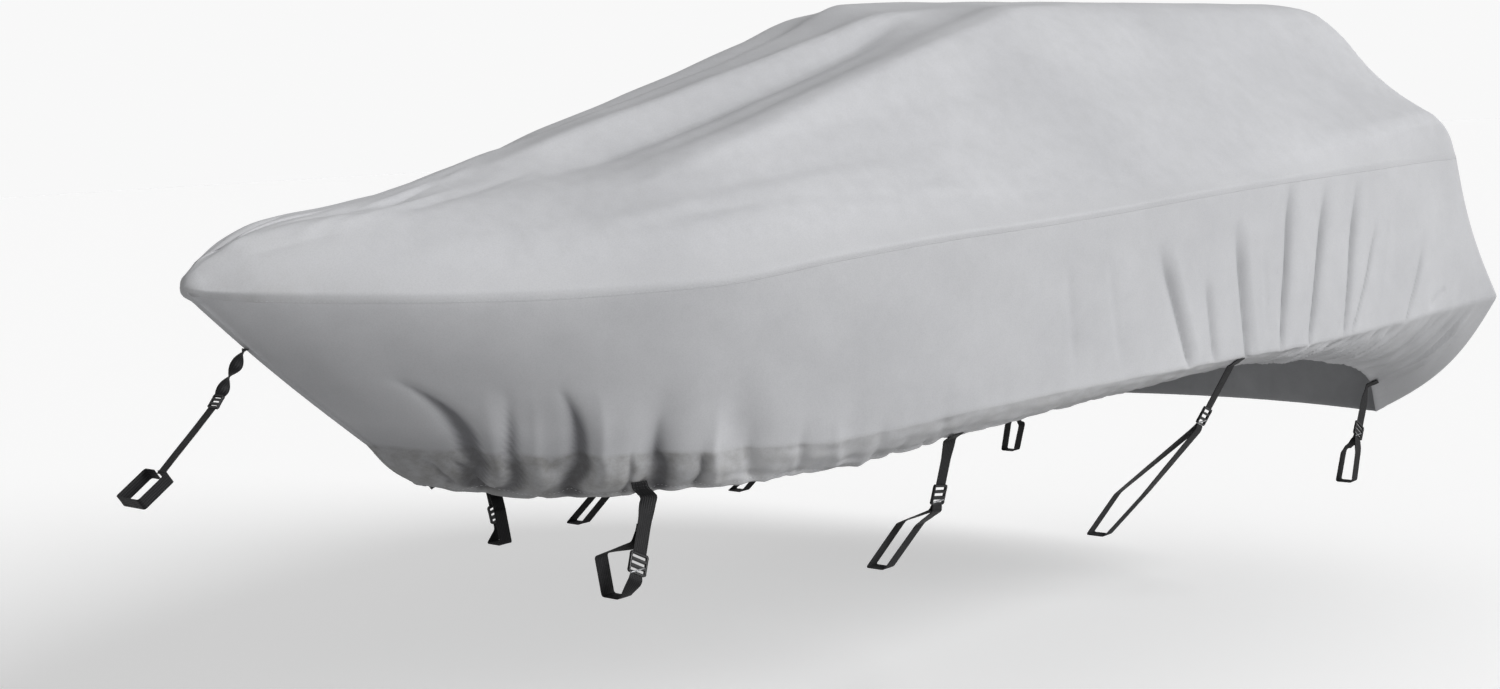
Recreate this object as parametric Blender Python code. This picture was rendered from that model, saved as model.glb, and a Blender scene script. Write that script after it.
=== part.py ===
"""Fitted cover for a small open motor boat, held up by the boat's windscreen frame and tied down by webbing straps.

Blender 4.5, metres, +Z up.  The tables below are measured from the tip of the bow: x runs aft, y is the
half breadth and z the height over the tip.  The finished part has its origin where the windscreen frame
carries the cloth, under the flat top.
"""

import bmesh
import bpy
import numpy as np
from mathutils import Matrix, Vector
from mathutils.bvhtree import BVHTree

# Driving sizes
CLOTH = 0.002  # thickness of the coated cloth
SEAM_GAP = 0.0006
SEAM_SHARE = 0.036  # the top panel turns down this share of the wall past the gunwale crease, to its seam
SEAM_SHARE_GAP = 0.0016
CORNER_WRAP = 0.022  # each side panel turns this far round the stern corner, to its seam
NOSE_HALF_WIDTH = 0.012
STERN_X = 3.82  # gunwale corner at the transom
STERN_ROUND = 0.08  # how far the middle of the stern stands aft of its corners
STERN_ROUND_START = 3.20
SAME_POINT = 0.00005
ORIGIN = Vector((2.90, 0.0, 0.5422))  # underside of the top, on the centre line

WEBBING_WIDTH = 0.038
WEBBING = 0.002  # thickness of the strap webbing
SEWN = 0.0008  # gap between a strap and the cloth that it is sewn to
RAIL_HIGH = 0.090  # trailer rail that each strap goes round
RAIL_WIDE = 0.050
RAIL_SLOPE = -0.079  # the rail runs down going aft
RAIL_TOP_AT_BOW = -0.592
BUCKLE_LENGTH = 0.048
BUCKLE_WIDTH = 0.050
BUCKLE_THICK = 0.010
BUCKLE_ROUNDING = 0.7  # radius of a buckle's corners, as a share of its thickness

# The top panel: one row for each cross-section, from the middle of the cloth out to the gunwale crease
TOP_COLUMNS = ("x", "crown_z", "shoulder_y", "shoulder_z", "rail_y", "rail_z", "gunwale_y", "gunwale_z")
TOP_SECTIONS = np.array([
    (0.00, 0.004, 0.004, 0.003, 0.008, 0.002, 0.012, 0.000),
    (0.04, 0.045, 0.014, 0.040, 0.028, 0.020, 0.044, -0.015),
    (0.12, 0.090, 0.035, 0.080, 0.065, 0.045, 0.114, -0.027),
    (0.25, 0.118, 0.070, 0.105, 0.125, 0.050, 0.208, -0.040),
    (0.42, 0.130, 0.120, 0.112, 0.215, 0.043, 0.315, -0.054),
    (0.65, 0.178, 0.190, 0.128, 0.335, 0.043, 0.436, -0.066),
    (0.90, 0.242, 0.260, 0.160, 0.447, 0.057, 0.548, -0.069),
    (1.20, 0.316, 0.320, 0.222, 0.557, 0.071, 0.657, -0.040),
    (1.50, 0.385, 0.365, 0.300, 0.640, 0.072, 0.739, -0.020),
    (1.80, 0.467, 0.385, 0.375, 0.705, 0.066, 0.806, -0.010),
    (2.05, 0.540, 0.385, 0.440, 0.760, 0.068, 0.846, 0.000),
    (2.35, 0.545, 0.380, 0.500, 0.810, 0.078, 0.880, 0.014),
    (2.85, 0.546, 0.430, 0.502, 0.845, 0.094, 0.899, 0.025),
    (3.30, 0.540, 0.490, 0.498, 0.875, 0.116, 0.902, 0.028),
    (3.50, 0.535, 0.520, 0.496, 0.888, 0.134, 0.906, 0.030),
    (3.62, 0.520, 0.540, 0.488, 0.896, 0.144, 0.910, 0.031),
    (3.70, 0.450, 0.565, 0.442, 0.902, 0.148, 0.912, 0.031),
    (3.76, 0.270, 0.590, 0.300, 0.906, 0.130, 0.914, 0.030),
    (3.80, 0.120, 0.610, 0.140, 0.909, 0.090, 0.915, 0.030),
    (3.82, 0.042, 0.630, 0.044, 0.912, 0.040, 0.915, 0.030),
])

# A side panel: each row starts at x on the gunwale and goes down to the lower crease and in to the hem
SIDE_COLUMNS = ("x", "crease_x", "crease_y", "crease_z", "hem_x", "hem_y", "hem_z")
SIDE_SECTIONS = np.array([
    (0.00, 0.420, 0.012, -0.378, 0.542, 0.012, -0.483),
    (0.12, 0.485, 0.100, -0.392, 0.620, 0.065, -0.508),
    (0.30, 0.600, 0.205, -0.412, 0.730, 0.165, -0.532),
    (0.55, 0.770, 0.325, -0.435, 0.850, 0.290, -0.539),
    (0.85, 0.980, 0.450, -0.448, 1.020, 0.410, -0.536),
    (1.20, 1.260, 0.585, -0.460, 1.280, 0.530, -0.533),
    (1.60, 1.620, 0.710, -0.436, 1.630, 0.655, -0.498),
    (2.05, 2.050, 0.810, -0.425, 2.060, 0.750, -0.472),
    (2.50, 2.500, 0.866, -0.428, 2.500, 0.790, -0.463),
    (2.95, 2.970, 0.885, -0.442, 2.980, 0.785, -0.496),
    (3.35, 3.420, 0.895, -0.444, 3.420, 0.735, -0.570),
    (3.62, 3.770, 0.910, -0.438, 3.780, 0.645, -0.665),
    (3.82, 4.060, 0.945, -0.430, 4.050, 0.545, -0.817),
])

# Folds of the top, drawn from the windscreen frame forward: ridges have a positive height, troughs a negative one
TOP_FOLD_COLUMNS = ("start_x", "start_y", "end_x", "end_y", "half_width", "height")
TOP_FOLDS = np.array([
    (2.15, 0.16, 0.85, 0.09, 0.060, 0.013),
    (2.10, -0.19, 0.80, -0.07, 0.050, 0.020),
    (2.05, 0.02, 0.85, 0.03, 0.060, -0.008),
    (2.00, -0.28, 0.85, -0.205, 0.042, -0.012),
    (2.05, -0.44, 1.00, -0.335, 0.055, 0.017),
    (2.05, 0.30, 1.00, 0.22, 0.050, -0.008),
    (1.75, 0.42, 1.05, 0.34, 0.050, 0.008),
    (0.50, -0.05, 0.12, -0.02, 0.018, -0.007),
    (0.55, 0.07, 0.16, 0.035, 0.020, 0.006),
    (1.05, -0.42, 1.90, -0.60, 0.050, -0.007),
    (1.10, 0.45, 1.85, 0.60, 0.055, -0.006),
])

# Pleats of each side panel: from top_x at a share of the way down the wall, to end_x at the end of the trough
PLEAT_COLUMNS = ("top_x", "top_share", "end_x", "end_share", "half_width", "height")
PORT_PLEATS = np.array([
    (0.62, 0.62, 0.80, 1.85, 0.040, -0.016),
    (0.86, 0.70, 0.90, 1.90, 0.038, -0.018),
    (1.02, 0.66, 1.10, 1.80, 0.042, -0.018),
    (1.28, 0.78, 1.30, 1.75, 0.040, -0.010),
    (2.20, 0.29, 2.33, 1.00, 0.026, -0.008),
    (2.39, 0.50, 2.44, 1.00, 0.024, -0.006),
    (2.53, 0.24, 2.60, 1.00, 0.026, -0.010),
    (2.80, 0.10, 2.77, 1.00, 0.028, -0.012),
    (3.00, 0.14, 2.93, 1.00, 0.028, -0.012),
    (3.19, 0.14, 3.12, 1.00, 0.026, -0.011),
    (3.61, 0.50, 3.51, 1.00, 0.026, -0.006),
])
STARBOARD_PLEATS = np.array([
    (0.60, 0.66, 0.76, 1.85, 0.042, -0.015),
    (0.90, 0.68, 0.96, 1.90, 0.040, -0.017),
    (1.12, 0.72, 1.16, 1.75, 0.040, -0.014),
    (2.34, 0.40, 2.28, 1.00, 0.026, -0.008),
    (2.62, 0.28, 2.52, 1.00, 0.026, -0.011),
    (2.90, 0.18, 2.74, 1.00, 0.028, -0.012),
    (3.14, 0.12, 2.94, 1.00, 0.028, -0.013),
    (3.36, 0.20, 3.16, 1.00, 0.026, -0.010),
    (3.64, 0.36, 3.52, 1.00, 0.026, -0.007),
])
TRANSOM_PLEAT_COLUMNS = ("top_y", "top_share", "end_y", "end_share", "half_width", "height")
TRANSOM_PLEATS = np.array([
    (-0.62, 0.30, -0.70, 1.20, 0.040, -0.012),
    (-0.36, 0.45, -0.40, 1.60, 0.040, -0.011),
    (-0.05, 0.55, -0.04, 1.80, 0.042, -0.010),
    (0.28, 0.40, 0.34, 1.60, 0.040, -0.012),
    (0.58, 0.30, 0.66, 1.25, 0.040, -0.011),
])

# Each strap: its seat on the hem band, as a station and a place down the side, its buckle, where it rounds
# the rail, and how far down the side it leaves the cloth
STRAP_COLUMNS = (
    "seat_x", "seat_down", "buckle_x", "buckle_y", "buckle_z", "front_x", "under_x", "back_x", "rail_y", "fork_share",
    "leaves_down",
)
STRAPS = {
    "1": (0.64, 1.60, 0.830, 0.360, -0.676, 0.822, 0.798, 0.784, 0.345, 0.50, 2.0),
    "2": (1.56, 1.78, 1.574, 0.612, -0.637, 1.590, 1.463, 1.585, 0.540, 1.00, 2.0),
    "3": (2.56, 1.06, 2.507, 0.785, -0.582, 2.420, 2.226, 2.365, 0.655, 1.00, 1.35),
    "4": (3.66, 1.93, 3.720, 0.640, -0.822, 3.680, 3.650, 3.690, 0.655, 1.00, 2.0),
}
STARBOARD_STRAP_1 = (0.95, 1.60, 1.130, 0.450, -0.700, 1.122, 1.098, 1.084, 0.435, 0.50, 2.0)
SEAT_POINTS = 7
PROBE = 0.05  # reach of the rays that find the cloth under a strap
PROBES_ACROSS = np.linspace(-0.6, 0.6, 13)  # their places across a strap, as a share of its width
PROBES_DOWN = (-0.005, 0, 0.005)
SLOPE_SHARE = 0.2  # share of the way down a side over which its slope under a strap is taken
LEG_STEPS = 5  # between the hem and the buckle
TURN_SHARE = 0.4  # share of that leg in which the webbing turns to face the rail
HEM_OVERHANG = 0.012  # a strap leaves the cloth this far below the hem
STRAP_LEAD = 0.014  # straight webbing just below a buckle
LEGS_APART = 0.005  # from the middle to each leg, at the end of that lead
LEG_TURN = 0.5  # share of the way down to the rail at which the legs have half turned to face it
FORK_GAP = 0.0008
FORK_LEADS = 3  # the legs part over this many leads
FORK_CLEARANCE = 0.010  # between the legs of strap 1, just below the place where they are sewn together

# The bow strap: from the stem through a slide buckle to a band round the winch post, all on the centre line
BOW_SEAT_SHARE = 0.36  # place of its seat, as a share of the way down the stem
STEM_OUT = Vector((-0.67, 0, -0.74))
BOW_BUCKLE = Vector((0.058, 0, -0.232))
BOW_BUCKLE_LENGTH = 0.030
BOW_BUCKLE_THICK = 0.008
BOW_WEBBING_WIDTH = 0.025
BOW_TWIST = 2 * np.pi
BOW_TWIST_STEPS = 14
POST_CENTRE = Vector((-0.113, 0, -0.375))
POST_AXIS = Vector((-0.54, 0, 0.842))
POST_AFT = Vector((0.842, 0, 0.54))
POST_HALF = 0.0375
BAND_END_GAP = 0.012


def along(columns, rows, name, x):
    """The named column at x, on a smooth curve through the rows that never overshoots them."""
    knots = rows[:, 0]
    values = rows[:, columns.index(name)]
    steps = np.diff(knots)
    rises = np.diff(values) / steps
    product = rises[:-1] * rises[1:]
    total = rises[:-1] + rises[1:]
    slopes = np.concatenate([rises[:1], np.zeros(len(rises) - 1), rises[-1:]])
    slopes[1:-1] = np.where(product > 0, 2 * product / np.where(total == 0, 1, total), 0)
    cell = np.clip(np.searchsorted(knots, x, side="right") - 1, 0, len(steps) - 1)
    t = (x - knots[cell]) / steps[cell]
    start = values[cell] * (1 + 2 * t) * (1 - t) ** 2 + values[cell + 1] * t ** 2 * (3 - 2 * t)
    bend = slopes[cell] * t * (1 - t) ** 2 + slopes[cell + 1] * t ** 2 * (t - 1)
    return start + bend * steps[cell]


def smooth_step(start, end, value):
    t = np.clip((value - start) / (end - start), 0, 1)
    return t * t * (3 - 2 * t)


def folds(rows, u, v):
    """Height of the folds at (u, v): each row is a line that swells in and fades out along its length."""
    height = np.zeros(np.broadcast(u, v).shape)
    for start_u, start_v, end_u, end_v, half_width, depth in rows:
        across = np.array([end_u - start_u, end_v - start_v])
        length = np.linalg.norm(across)
        share = ((u - start_u) * across[0] + (v - start_v) * across[1]) / length ** 2
        aside = ((u - start_u) * across[1] - (v - start_v) * across[0]) / length
        fade = smooth_step(-0.15, 0.2, share) * smooth_step(1.12, 0.85, share)
        height = height + depth * fade * np.exp(-((aside / half_width) ** 2))
    return height


def gunwale(x):
    """Half breadth and height of the crease at the gunwale."""
    return along(TOP_COLUMNS, TOP_SECTIONS, "gunwale_y", x), along(TOP_COLUMNS, TOP_SECTIONS, "gunwale_z", x)


def stern_round(x, share):
    """How far a point of the top stands aft, at this share of the half breadth."""
    return STERN_ROUND * smooth_step(STERN_ROUND_START, STERN_X, x) * (1 - share ** 2)


def spread(*runs):
    """Places in order from runs of (start, end, count), with no place twice."""
    return np.unique(np.round(np.concatenate([np.linspace(*run) for run in runs]), 5))


# Stations of the top and of the sides, closer together where the cloth is pleated and at the bow and stern
STATIONS = spread((0, 0.12, 5), (0.12, 0.5, 6), (0.5, 1.4, 17), (1.4, 2.2, 9), (2.2, 3.5, 35), (3.5, STERN_X, 8))


QUARTER_SAG = 0.022  # how far the cloth sags in and down between its shoulder and the rail, near the stern
QUARTER_SAG_RISE = (2.9, 3.5)
QUARTER_SAG_FALL = (3.82, 3.71)

# Places across the top: 0 is the middle, 1 the shoulder, 2 the deck rail and 3 the gunwale crease
ACROSS = np.array([0, 0.17, 0.33, 0.5, 0.67, 0.83, 1, 1.33, 1.67, 2, 2.5, 3])


def top_point(x, across, side):
    """A point of the top panel's outer face."""
    names = ("shoulder", "rail", "gunwale")
    y_marks = np.array([0.0] + [along(TOP_COLUMNS, TOP_SECTIONS, n + "_y", x) for n in names])
    z_marks = np.array(
        [along(TOP_COLUMNS, TOP_SECTIONS, "crown_z", x)]
        + [along(TOP_COLUMNS, TOP_SECTIONS, n + "_z", x) for n in names]
    )
    marks = np.arange(4)
    sag = QUARTER_SAG * smooth_step(*QUARTER_SAG_RISE, x) * smooth_step(*QUARTER_SAG_FALL, x)
    sag *= np.sin(np.pi * np.clip(across - 1, 0, 1))
    y = side * (np.interp(across, marks, y_marks) - sag)
    z = np.interp(across, marks, z_marks) - sag
    breadth = y_marks[3]
    height = folds(TOP_FOLDS, x, y)
    return Vector((x + stern_round(x, y / breadth), y, z + float(height)))


# Places down a side: 0 is the gunwale crease, 1 the lower crease and 2 the hem
DOWN = np.array([SEAM_SHARE, 0.2, 0.4, 0.6, 0.8, 1, 1.33, 1.67, 2])
STEM_FULLNESS = 0.012  # how far the stem stands forward of a straight line, half way down
STEM_FULLNESS_END = 0.30
STERN_WAIST = 0.040  # how far the stern corners draw in, half way down
STERN_WAIST_START = 3.50
PLEATS_START = 0.15  # the pleats of the sides fade in over this much of the bow
UNDER_OUT = np.array([0, 0.7, -0.7])
UNDER_FULLNESS = 0.09  # how far the cloth under the lower crease stands out, as a share of its run to the hem


def side_point(x, down, side):
    """A point of a side panel's outer face, from the gunwale at x."""
    breadth, height = gunwale(x)
    crease = [along(SIDE_COLUMNS, SIDE_SECTIONS, "crease_" + axis, x) for axis in "xyz"]
    hem = [along(SIDE_COLUMNS, SIDE_SECTIONS, "hem_" + axis, x) for axis in "xyz"]
    top = np.array([x, breadth, height])
    point = np.array([np.interp(down, [0, 1, 2], [top[i], crease[i], hem[i]]) for i in range(3)])
    run = np.linalg.norm(np.subtract(hem, crease))
    fullness = UNDER_FULLNESS * run * np.sin(np.pi * np.clip(down - 1, 0, 1))
    point += fullness * UNDER_OUT
    stem = 1 - smooth_step(0, STEM_FULLNESS_END, x)
    point[0] -= STEM_FULLNESS * stem * np.sin(np.pi * np.clip(down, 0, 1))
    waist = STERN_WAIST * smooth_step(STERN_WAIST_START, STERN_X, x)
    point[0] -= waist * np.sin(np.pi * np.clip((down - SEAM_SHARE) / (1 - SEAM_SHARE), 0, 1))
    rows = PORT_PLEATS if side < 0 else STARBOARD_PLEATS
    point[1] += float(pleats(rows, point[0], down)) * smooth_step(0, PLEATS_START, x)
    point[1] = max(point[1], NOSE_HALF_WIDTH)
    return Vector((point[0], side * point[1], point[2]))


PLEAT_RUN = 0.45  # height of a side wall, which turns a share of the way down into metres


def pleats(rows, along_edge, down):
    """Depth of the pleats, in a plane of metres along the edge and metres down the cloth."""
    scaled = rows.copy()
    scaled[:, 1] *= PLEAT_RUN
    scaled[:, 3] *= PLEAT_RUN
    return folds(scaled, along_edge, down * PLEAT_RUN)


def transom_point(share, down):
    """A point of the transom's outer face, at this share of the way from the middle to a corner."""
    corner = side_point(STERN_X, down, 1)
    sag = STERN_ROUND * (1 - share ** 2)
    point = Vector((corner.x + sag, share * corner.y, corner.z))
    point.x += float(pleats(TRANSOM_PLEATS, point.y, down)) * (1 - share ** 4)
    return point


def strap_seat(x, down, side, cloth):
    """Where the middle of a strap lies on a side panel, with the directions aft and down along the cloth."""
    across = [side_point(x + WEBBING_WIDTH * share, down, side) for share in PROBES_ACROSS]
    centre = side_point(x, down, side)
    aft = (across[-1] - across[0]).normalized()
    low = min(down + SLOPE_SHARE, 2)
    below = (side_point(x, low, side) - side_point(x, low - SLOPE_SHARE, side)).normalized()
    normal = aft.cross(below).normalized()
    if normal.y * side < 0:
        normal.negate()
    lift = -PROBE
    for nearby in PROBES_DOWN:
        for point in across:
            start = point + normal * PROBE + below * nearby
            hit = cloth.ray_cast(start, -normal, 2 * PROBE)[0]
            if hit:
                lift = max(lift, (hit - centre).dot(normal))
    return centre + normal * (lift + SEWN + WEBBING / 2), aft, below


def material(name, colour, roughness):
    made = bpy.data.materials.new(name)
    made.use_nodes = True
    shader = made.node_tree.nodes["Principled BSDF"]
    shader.inputs["Base Color"].default_value = (*colour, 1)
    shader.inputs["Roughness"].default_value = roughness
    shader.inputs["Metallic"].default_value = 0
    return made


def add_object(name, bm, finish):
    """A named object from a bmesh that is drawn from the bow tip, moved to the part's origin."""
    bmesh.ops.remove_doubles(bm, verts=bm.verts, dist=SAME_POINT)
    bmesh.ops.translate(bm, verts=bm.verts, vec=-ORIGIN)
    mesh = bpy.data.meshes.new(name)
    bm.to_mesh(mesh)
    bm.free()
    mesh.materials.append(finish)
    mesh.shade_smooth()
    made = bpy.data.objects.new(name, mesh)
    bpy.context.scene.collection.objects.link(made)
    return made


def cloth_panel(name, rows, finish, outward):
    """A panel from rows of points on its outer face, thickened inward by the cloth; returns that face."""
    bm = bmesh.new()
    bmesh.ops.create_grid(bm, x_segments=len(rows[0]) - 1, y_segments=len(rows) - 1, size=1)
    bm.verts.ensure_lookup_table()
    ordered = sorted(bm.verts, key=lambda v: (round(v.co.y, 5), round(v.co.x, 5)))
    for vert, point in zip(ordered, [point for row in rows for point in row]):
        vert.co = point
    bmesh.ops.remove_doubles(bm, verts=bm.verts, dist=SAME_POINT)
    bm.normal_update()
    if sum(face.normal.dot(outward) * face.calc_area() for face in bm.faces) < 0:
        bmesh.ops.reverse_faces(bm, faces=bm.faces)
    bmesh.ops.triangulate(bm, faces=bm.faces)
    face = BVHTree.FromBMesh(bm)
    panel = add_object(name, bm, finish)
    wall = panel.modifiers.new("thickness", "SOLIDIFY")
    wall.thickness = CLOTH
    wall.offset = -1
    wall.use_even_offset = True
    return face


def build_top(finish):
    places = [(-1, across) for across in ACROSS[:0:-1]] + [(1, across) for across in ACROSS]
    seam = SEAM_SHARE - SEAM_SHARE_GAP
    rows = []
    for x in STATIONS:
        row = [top_point(x, across, side) for side, across in places]
        rows.append([side_point(x, seam, -1)] + row + [side_point(x, seam, 1)])
    nose = side_point(0.0, seam, 1)
    half_breadth = gunwale(STERN_X)[0]
    front = [Vector((nose.x, min(max(point.y, -nose.y), nose.y), nose.z)) for point in rows[0]]
    back = [transom_point(point.y / half_breadth, seam) for point in rows[-1][1:-1]]
    back = [rows[-1][0]] + back + [rows[-1][-1]]
    cloth_panel("top_panel", [front] + rows + [back], finish, Vector((0, 0, 1)))


def build_side(name, side, finish):
    rows = []
    for down in DOWN:
        row = [side_point(x, down, side) for x in STATIONS]
        corner = row[-1]
        wrap = transom_point(side * (1 - CORNER_WRAP / abs(corner.y)), down)
        nose = Vector((row[0].x, side * SEAM_GAP / 2, row[0].z))
        rows.append([nose] + row + [wrap])
    return cloth_panel(name, rows, finish, Vector((0, side, 0)))


TRANSOM_COLUMNS = 23


def build_transom(finish):
    rows = []
    for down in DOWN:
        half = side_point(STERN_X, down, 1).y
        reach = 1 - (CORNER_WRAP + SEAM_GAP) / half
        flap = reach - CORNER_WRAP / half
        shares = [-reach, *np.linspace(-flap, flap, TRANSOM_COLUMNS), reach]
        rows.append([transom_point(share, down) for share in shares])
    cloth_panel("transom_panel", rows, finish, Vector((1, 0, 0)))


def ribbon(name, path, widths, finish, width=WEBBING_WIDTH, thickness=WEBBING):
    """Flat webbing along a path of points; widths gives the direction of the webbing's width at each point."""
    path = [Vector(point) for point in path]
    bm = bmesh.new()
    rings = []
    for i, point in enumerate(path):
        before = (point - path[i - 1]).normalized() if i else None
        after = (path[i + 1] - point).normalized() if i < len(path) - 1 else None
        ahead = ((before or after) + (after or before)).normalized()
        wide = Vector(widths[i]).normalized()
        face = ahead.cross(wide).normalized()
        lean = ahead.dot(before or after)
        wide *= width / 2
        face *= thickness / 2 / max(lean, 0.5)
        corners = [point + wide + face, point - wide + face, point - wide - face, point + wide - face]
        rings.append([bm.verts.new(corner) for corner in corners])
    bm.faces.new(rings[0][::-1])
    bm.faces.new(rings[-1])
    for low, high in zip(rings, rings[1:]):
        for k in range(4):
            quad = [low[k], low[(k + 1) % 4], high[(k + 1) % 4], high[k]]
            if k >= 2:  # both broad faces are split along the same diagonal, so a twist keeps its thickness
                quad = quad[1:] + quad[:1]
            bm.faces.new(quad[:3])
            bm.faces.new((quad[0], quad[2], quad[3]))
    return add_object(name, bm, finish)


def buckle(name, centre, down, wide, finish, size=(BUCKLE_WIDTH, BUCKLE_LENGTH, BUCKLE_THICK)):
    """A moulded buckle body with rounded ends, lying along the strap."""
    down = Vector(down).normalized()
    wide = (Vector(wide) - down * Vector(wide).dot(down)).normalized()
    face = wide.cross(down)
    bm = bmesh.new()
    bmesh.ops.create_cube(bm, size=1)
    bmesh.ops.scale(bm, vec=size, verts=bm.verts)
    corners = [edge for edge in bm.edges if abs(edge.verts[0].co.z - edge.verts[1].co.z) > size[2] / 2]
    bmesh.ops.bevel(
        bm, geom=corners, offset=size[2] * BUCKLE_ROUNDING, segments=3, profile=0.5, affect="EDGES", material=-1
    )
    turn = Matrix((wide, down, face)).transposed().to_4x4()
    turn.translation = Vector(centre)
    bmesh.ops.transform(bm, matrix=turn, verts=bm.verts)
    return add_object(name, bm, finish)


def rail_top(x):
    return RAIL_TOP_AT_BOW + RAIL_SLOPE * x


def build_strap(label, side, sizes, cloth, web, plastic):
    """Upper webbing sewn to the hem band, a buckle, and the lower webbing round the trailer rail."""
    at = dict(zip(STRAP_COLUMNS, sizes))
    name = ("port" if side < 0 else "starboard") + "_strap_" + label
    wide = Vector((1, 0, 0))

    def place(x, y, z):
        return Vector((x, side * y, z))

    tail = []
    widths = []
    for seat_down in np.linspace(at["seat_down"], at["leaves_down"], SEAT_POINTS):
        point, aft, below = strap_seat(at["seat_x"], seat_down, side, cloth)
        tail.append(point)
        widths.append(aft)
    tail.append(tail[-1] + below * HEM_OVERHANG)
    widths.append(aft)
    centre = place(at["buckle_x"], at["buckle_y"], at["buckle_z"])
    down = (centre - tail[-1]).normalized()
    reach = BUCKLE_LENGTH / 2 + SEAM_GAP
    inward = wide.cross(down)
    inward *= -side * (1 if inward.y > 0 else -1)
    flat = down.cross(inward) * -side
    hem = tail[-1]
    end = centre - down * reach
    for share in np.linspace(0, 1, LEG_STEPS + 1)[1:]:
        tail.append(hem.lerp(end, share))
        widths.append(aft.lerp(flat, min(1, share / TURN_SHARE)))
    ribbon(name + "_upper", tail, widths, web)
    buckle(name + "_buckle", centre, down, wide, plastic)
    half = WEBBING / 2
    outer = at["rail_y"] + half
    inner = at["rail_y"] - RAIL_WIDE - half
    front_top = place(at["front_x"], outer, rail_top(at["front_x"]))
    front_low = place(at["under_x"], outer, rail_top(at["under_x"]) - RAIL_HIGH - half)
    back_low = place(at["under_x"], inner, rail_top(at["under_x"]) - RAIL_HIGH - half)
    back_top = place(at["back_x"], inner, rail_top(at["back_x"]))
    layer = WEBBING + SEAM_GAP
    below = centre + down * reach
    lead = down * STRAP_LEAD
    front = [(below - inward * layer / 2, flat), (below - inward * LEGS_APART + lead, flat)]
    back = [(below + inward * LEGS_APART + lead, flat), (below + inward * layer / 2, flat)]
    if at["fork_share"] < 1:
        sewn = hem.lerp(end, at["fork_share"]) + inward * (layer + FORK_GAP)
        front = [(below, flat), (below + lead, flat)]
        back = [(sewn + inward * FORK_CLEARANCE + lead * FORK_LEADS, flat), (sewn + lead, flat), (sewn, flat)]
    else:
        turning = flat.lerp(wide, 0.5)
        front.append((front[-1][0].lerp(front_top, LEG_TURN), turning))
        back.insert(0, (back[0][0].lerp(back_top, LEG_TURN), turning))
    if centre.z > front_top.z:
        front.append((front_top, wide))
    rail = [(point, wide) for point in (front_low, back_low, back_top)]
    path, widths = zip(*front, *rail, *back)
    ribbon(name + "_lower", path, widths, web)


def build_bow_strap(web, plastic):
    """A twisted strap from the stem down to a band round the winch post in front of the boat."""
    across = Vector((0, 1, 0))
    stem = side_point(0, BOW_SEAT_SHARE, 1)
    seat = Vector((stem.x, 0, stem.z)) + STEM_OUT * SEWN
    down = (BOW_BUCKLE - seat).normalized()
    reach = BOW_BUCKLE_LENGTH / 2 + SEAM_GAP
    end = BOW_BUCKLE - down * reach
    shares = np.linspace(0, 1, BOW_TWIST_STEPS + 1)
    twist = [Matrix.Rotation(BOW_TWIST * share, 3, down) @ across for share in shares]
    ribbon("bow_strap_upper", [seat.lerp(end, share) for share in shares], twist, web, BOW_WEBBING_WIDTH)
    size = (BOW_WEBBING_WIDTH + BOW_BUCKLE_THICK, BOW_BUCKLE_LENGTH, BOW_BUCKLE_THICK)
    buckle("bow_strap_buckle", BOW_BUCKLE, down, across, plastic, size)
    band_out = POST_HALF + SEWN + WEBBING / 2
    landing = POST_CENTRE + POST_AFT * (band_out + WEBBING / 2 + SEWN)
    lead = BOW_BUCKLE + down * reach
    lower = [lead, lead + down * STRAP_LEAD / 2, landing]
    ribbon("bow_strap_lower", lower, [across] * len(lower), web, BOW_WEBBING_WIDTH)
    corners = [(1, -BAND_END_GAP / 2), (1, -band_out), (-1, -band_out), (-1, band_out), (1, band_out)]
    corners.append((1, BAND_END_GAP / 2))
    band = [POST_CENTRE + POST_AFT * facing * band_out + across * y for facing, y in corners]
    ribbon("bow_strap_band", band, [POST_AXIS] * len(band), web, BOW_WEBBING_WIDTH)


def main():
    for obj in list(bpy.data.objects):
        bpy.data.objects.remove(obj)
    cloth = material("coated_cloth", (0.60, 0.61, 0.63), 0.72)
    web = material("strap_webbing", (0.012, 0.012, 0.014), 0.65)
    plastic = material("buckle_plastic", (0.02, 0.02, 0.022), 0.38)
    build_top(cloth)
    port = build_side("side_panel_port", -1, cloth)
    starboard = build_side("side_panel_starboard", 1, cloth)
    build_transom(cloth)
    for label, sizes in STRAPS.items():
        build_strap(label, -1, sizes, port, web, plastic)
        build_strap(label, 1, STARBOARD_STRAP_1 if label == "1" else sizes, starboard, web, plastic)
    build_bow_strap(web, plastic)


main()
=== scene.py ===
"""Dresses the boat cover: pleated cloth panels, hem and seam stitching, webbing straps and ladder buckles."""

import bmesh
import bpy
import numpy as np
from mathutils import Matrix, Vector
from mathutils.bvhtree import BVHTree


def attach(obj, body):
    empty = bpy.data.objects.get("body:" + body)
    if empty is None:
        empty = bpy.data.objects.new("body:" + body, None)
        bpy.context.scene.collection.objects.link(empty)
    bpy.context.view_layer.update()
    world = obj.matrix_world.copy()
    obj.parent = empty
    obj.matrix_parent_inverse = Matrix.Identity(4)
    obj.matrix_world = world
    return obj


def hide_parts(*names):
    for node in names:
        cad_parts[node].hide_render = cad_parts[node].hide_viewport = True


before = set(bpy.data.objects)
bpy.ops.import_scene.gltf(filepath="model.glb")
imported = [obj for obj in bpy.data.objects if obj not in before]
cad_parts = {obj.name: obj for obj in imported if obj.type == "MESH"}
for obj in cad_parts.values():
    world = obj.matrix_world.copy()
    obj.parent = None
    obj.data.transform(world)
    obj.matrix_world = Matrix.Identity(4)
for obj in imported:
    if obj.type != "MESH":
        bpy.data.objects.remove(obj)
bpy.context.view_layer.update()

# Sizes of the cover, in metres.  Tables are measured from the tip of the bow: x aft, y half breadth, z up.
CLOTH = 0.001
SEAM_GAP = 0.0006
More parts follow.
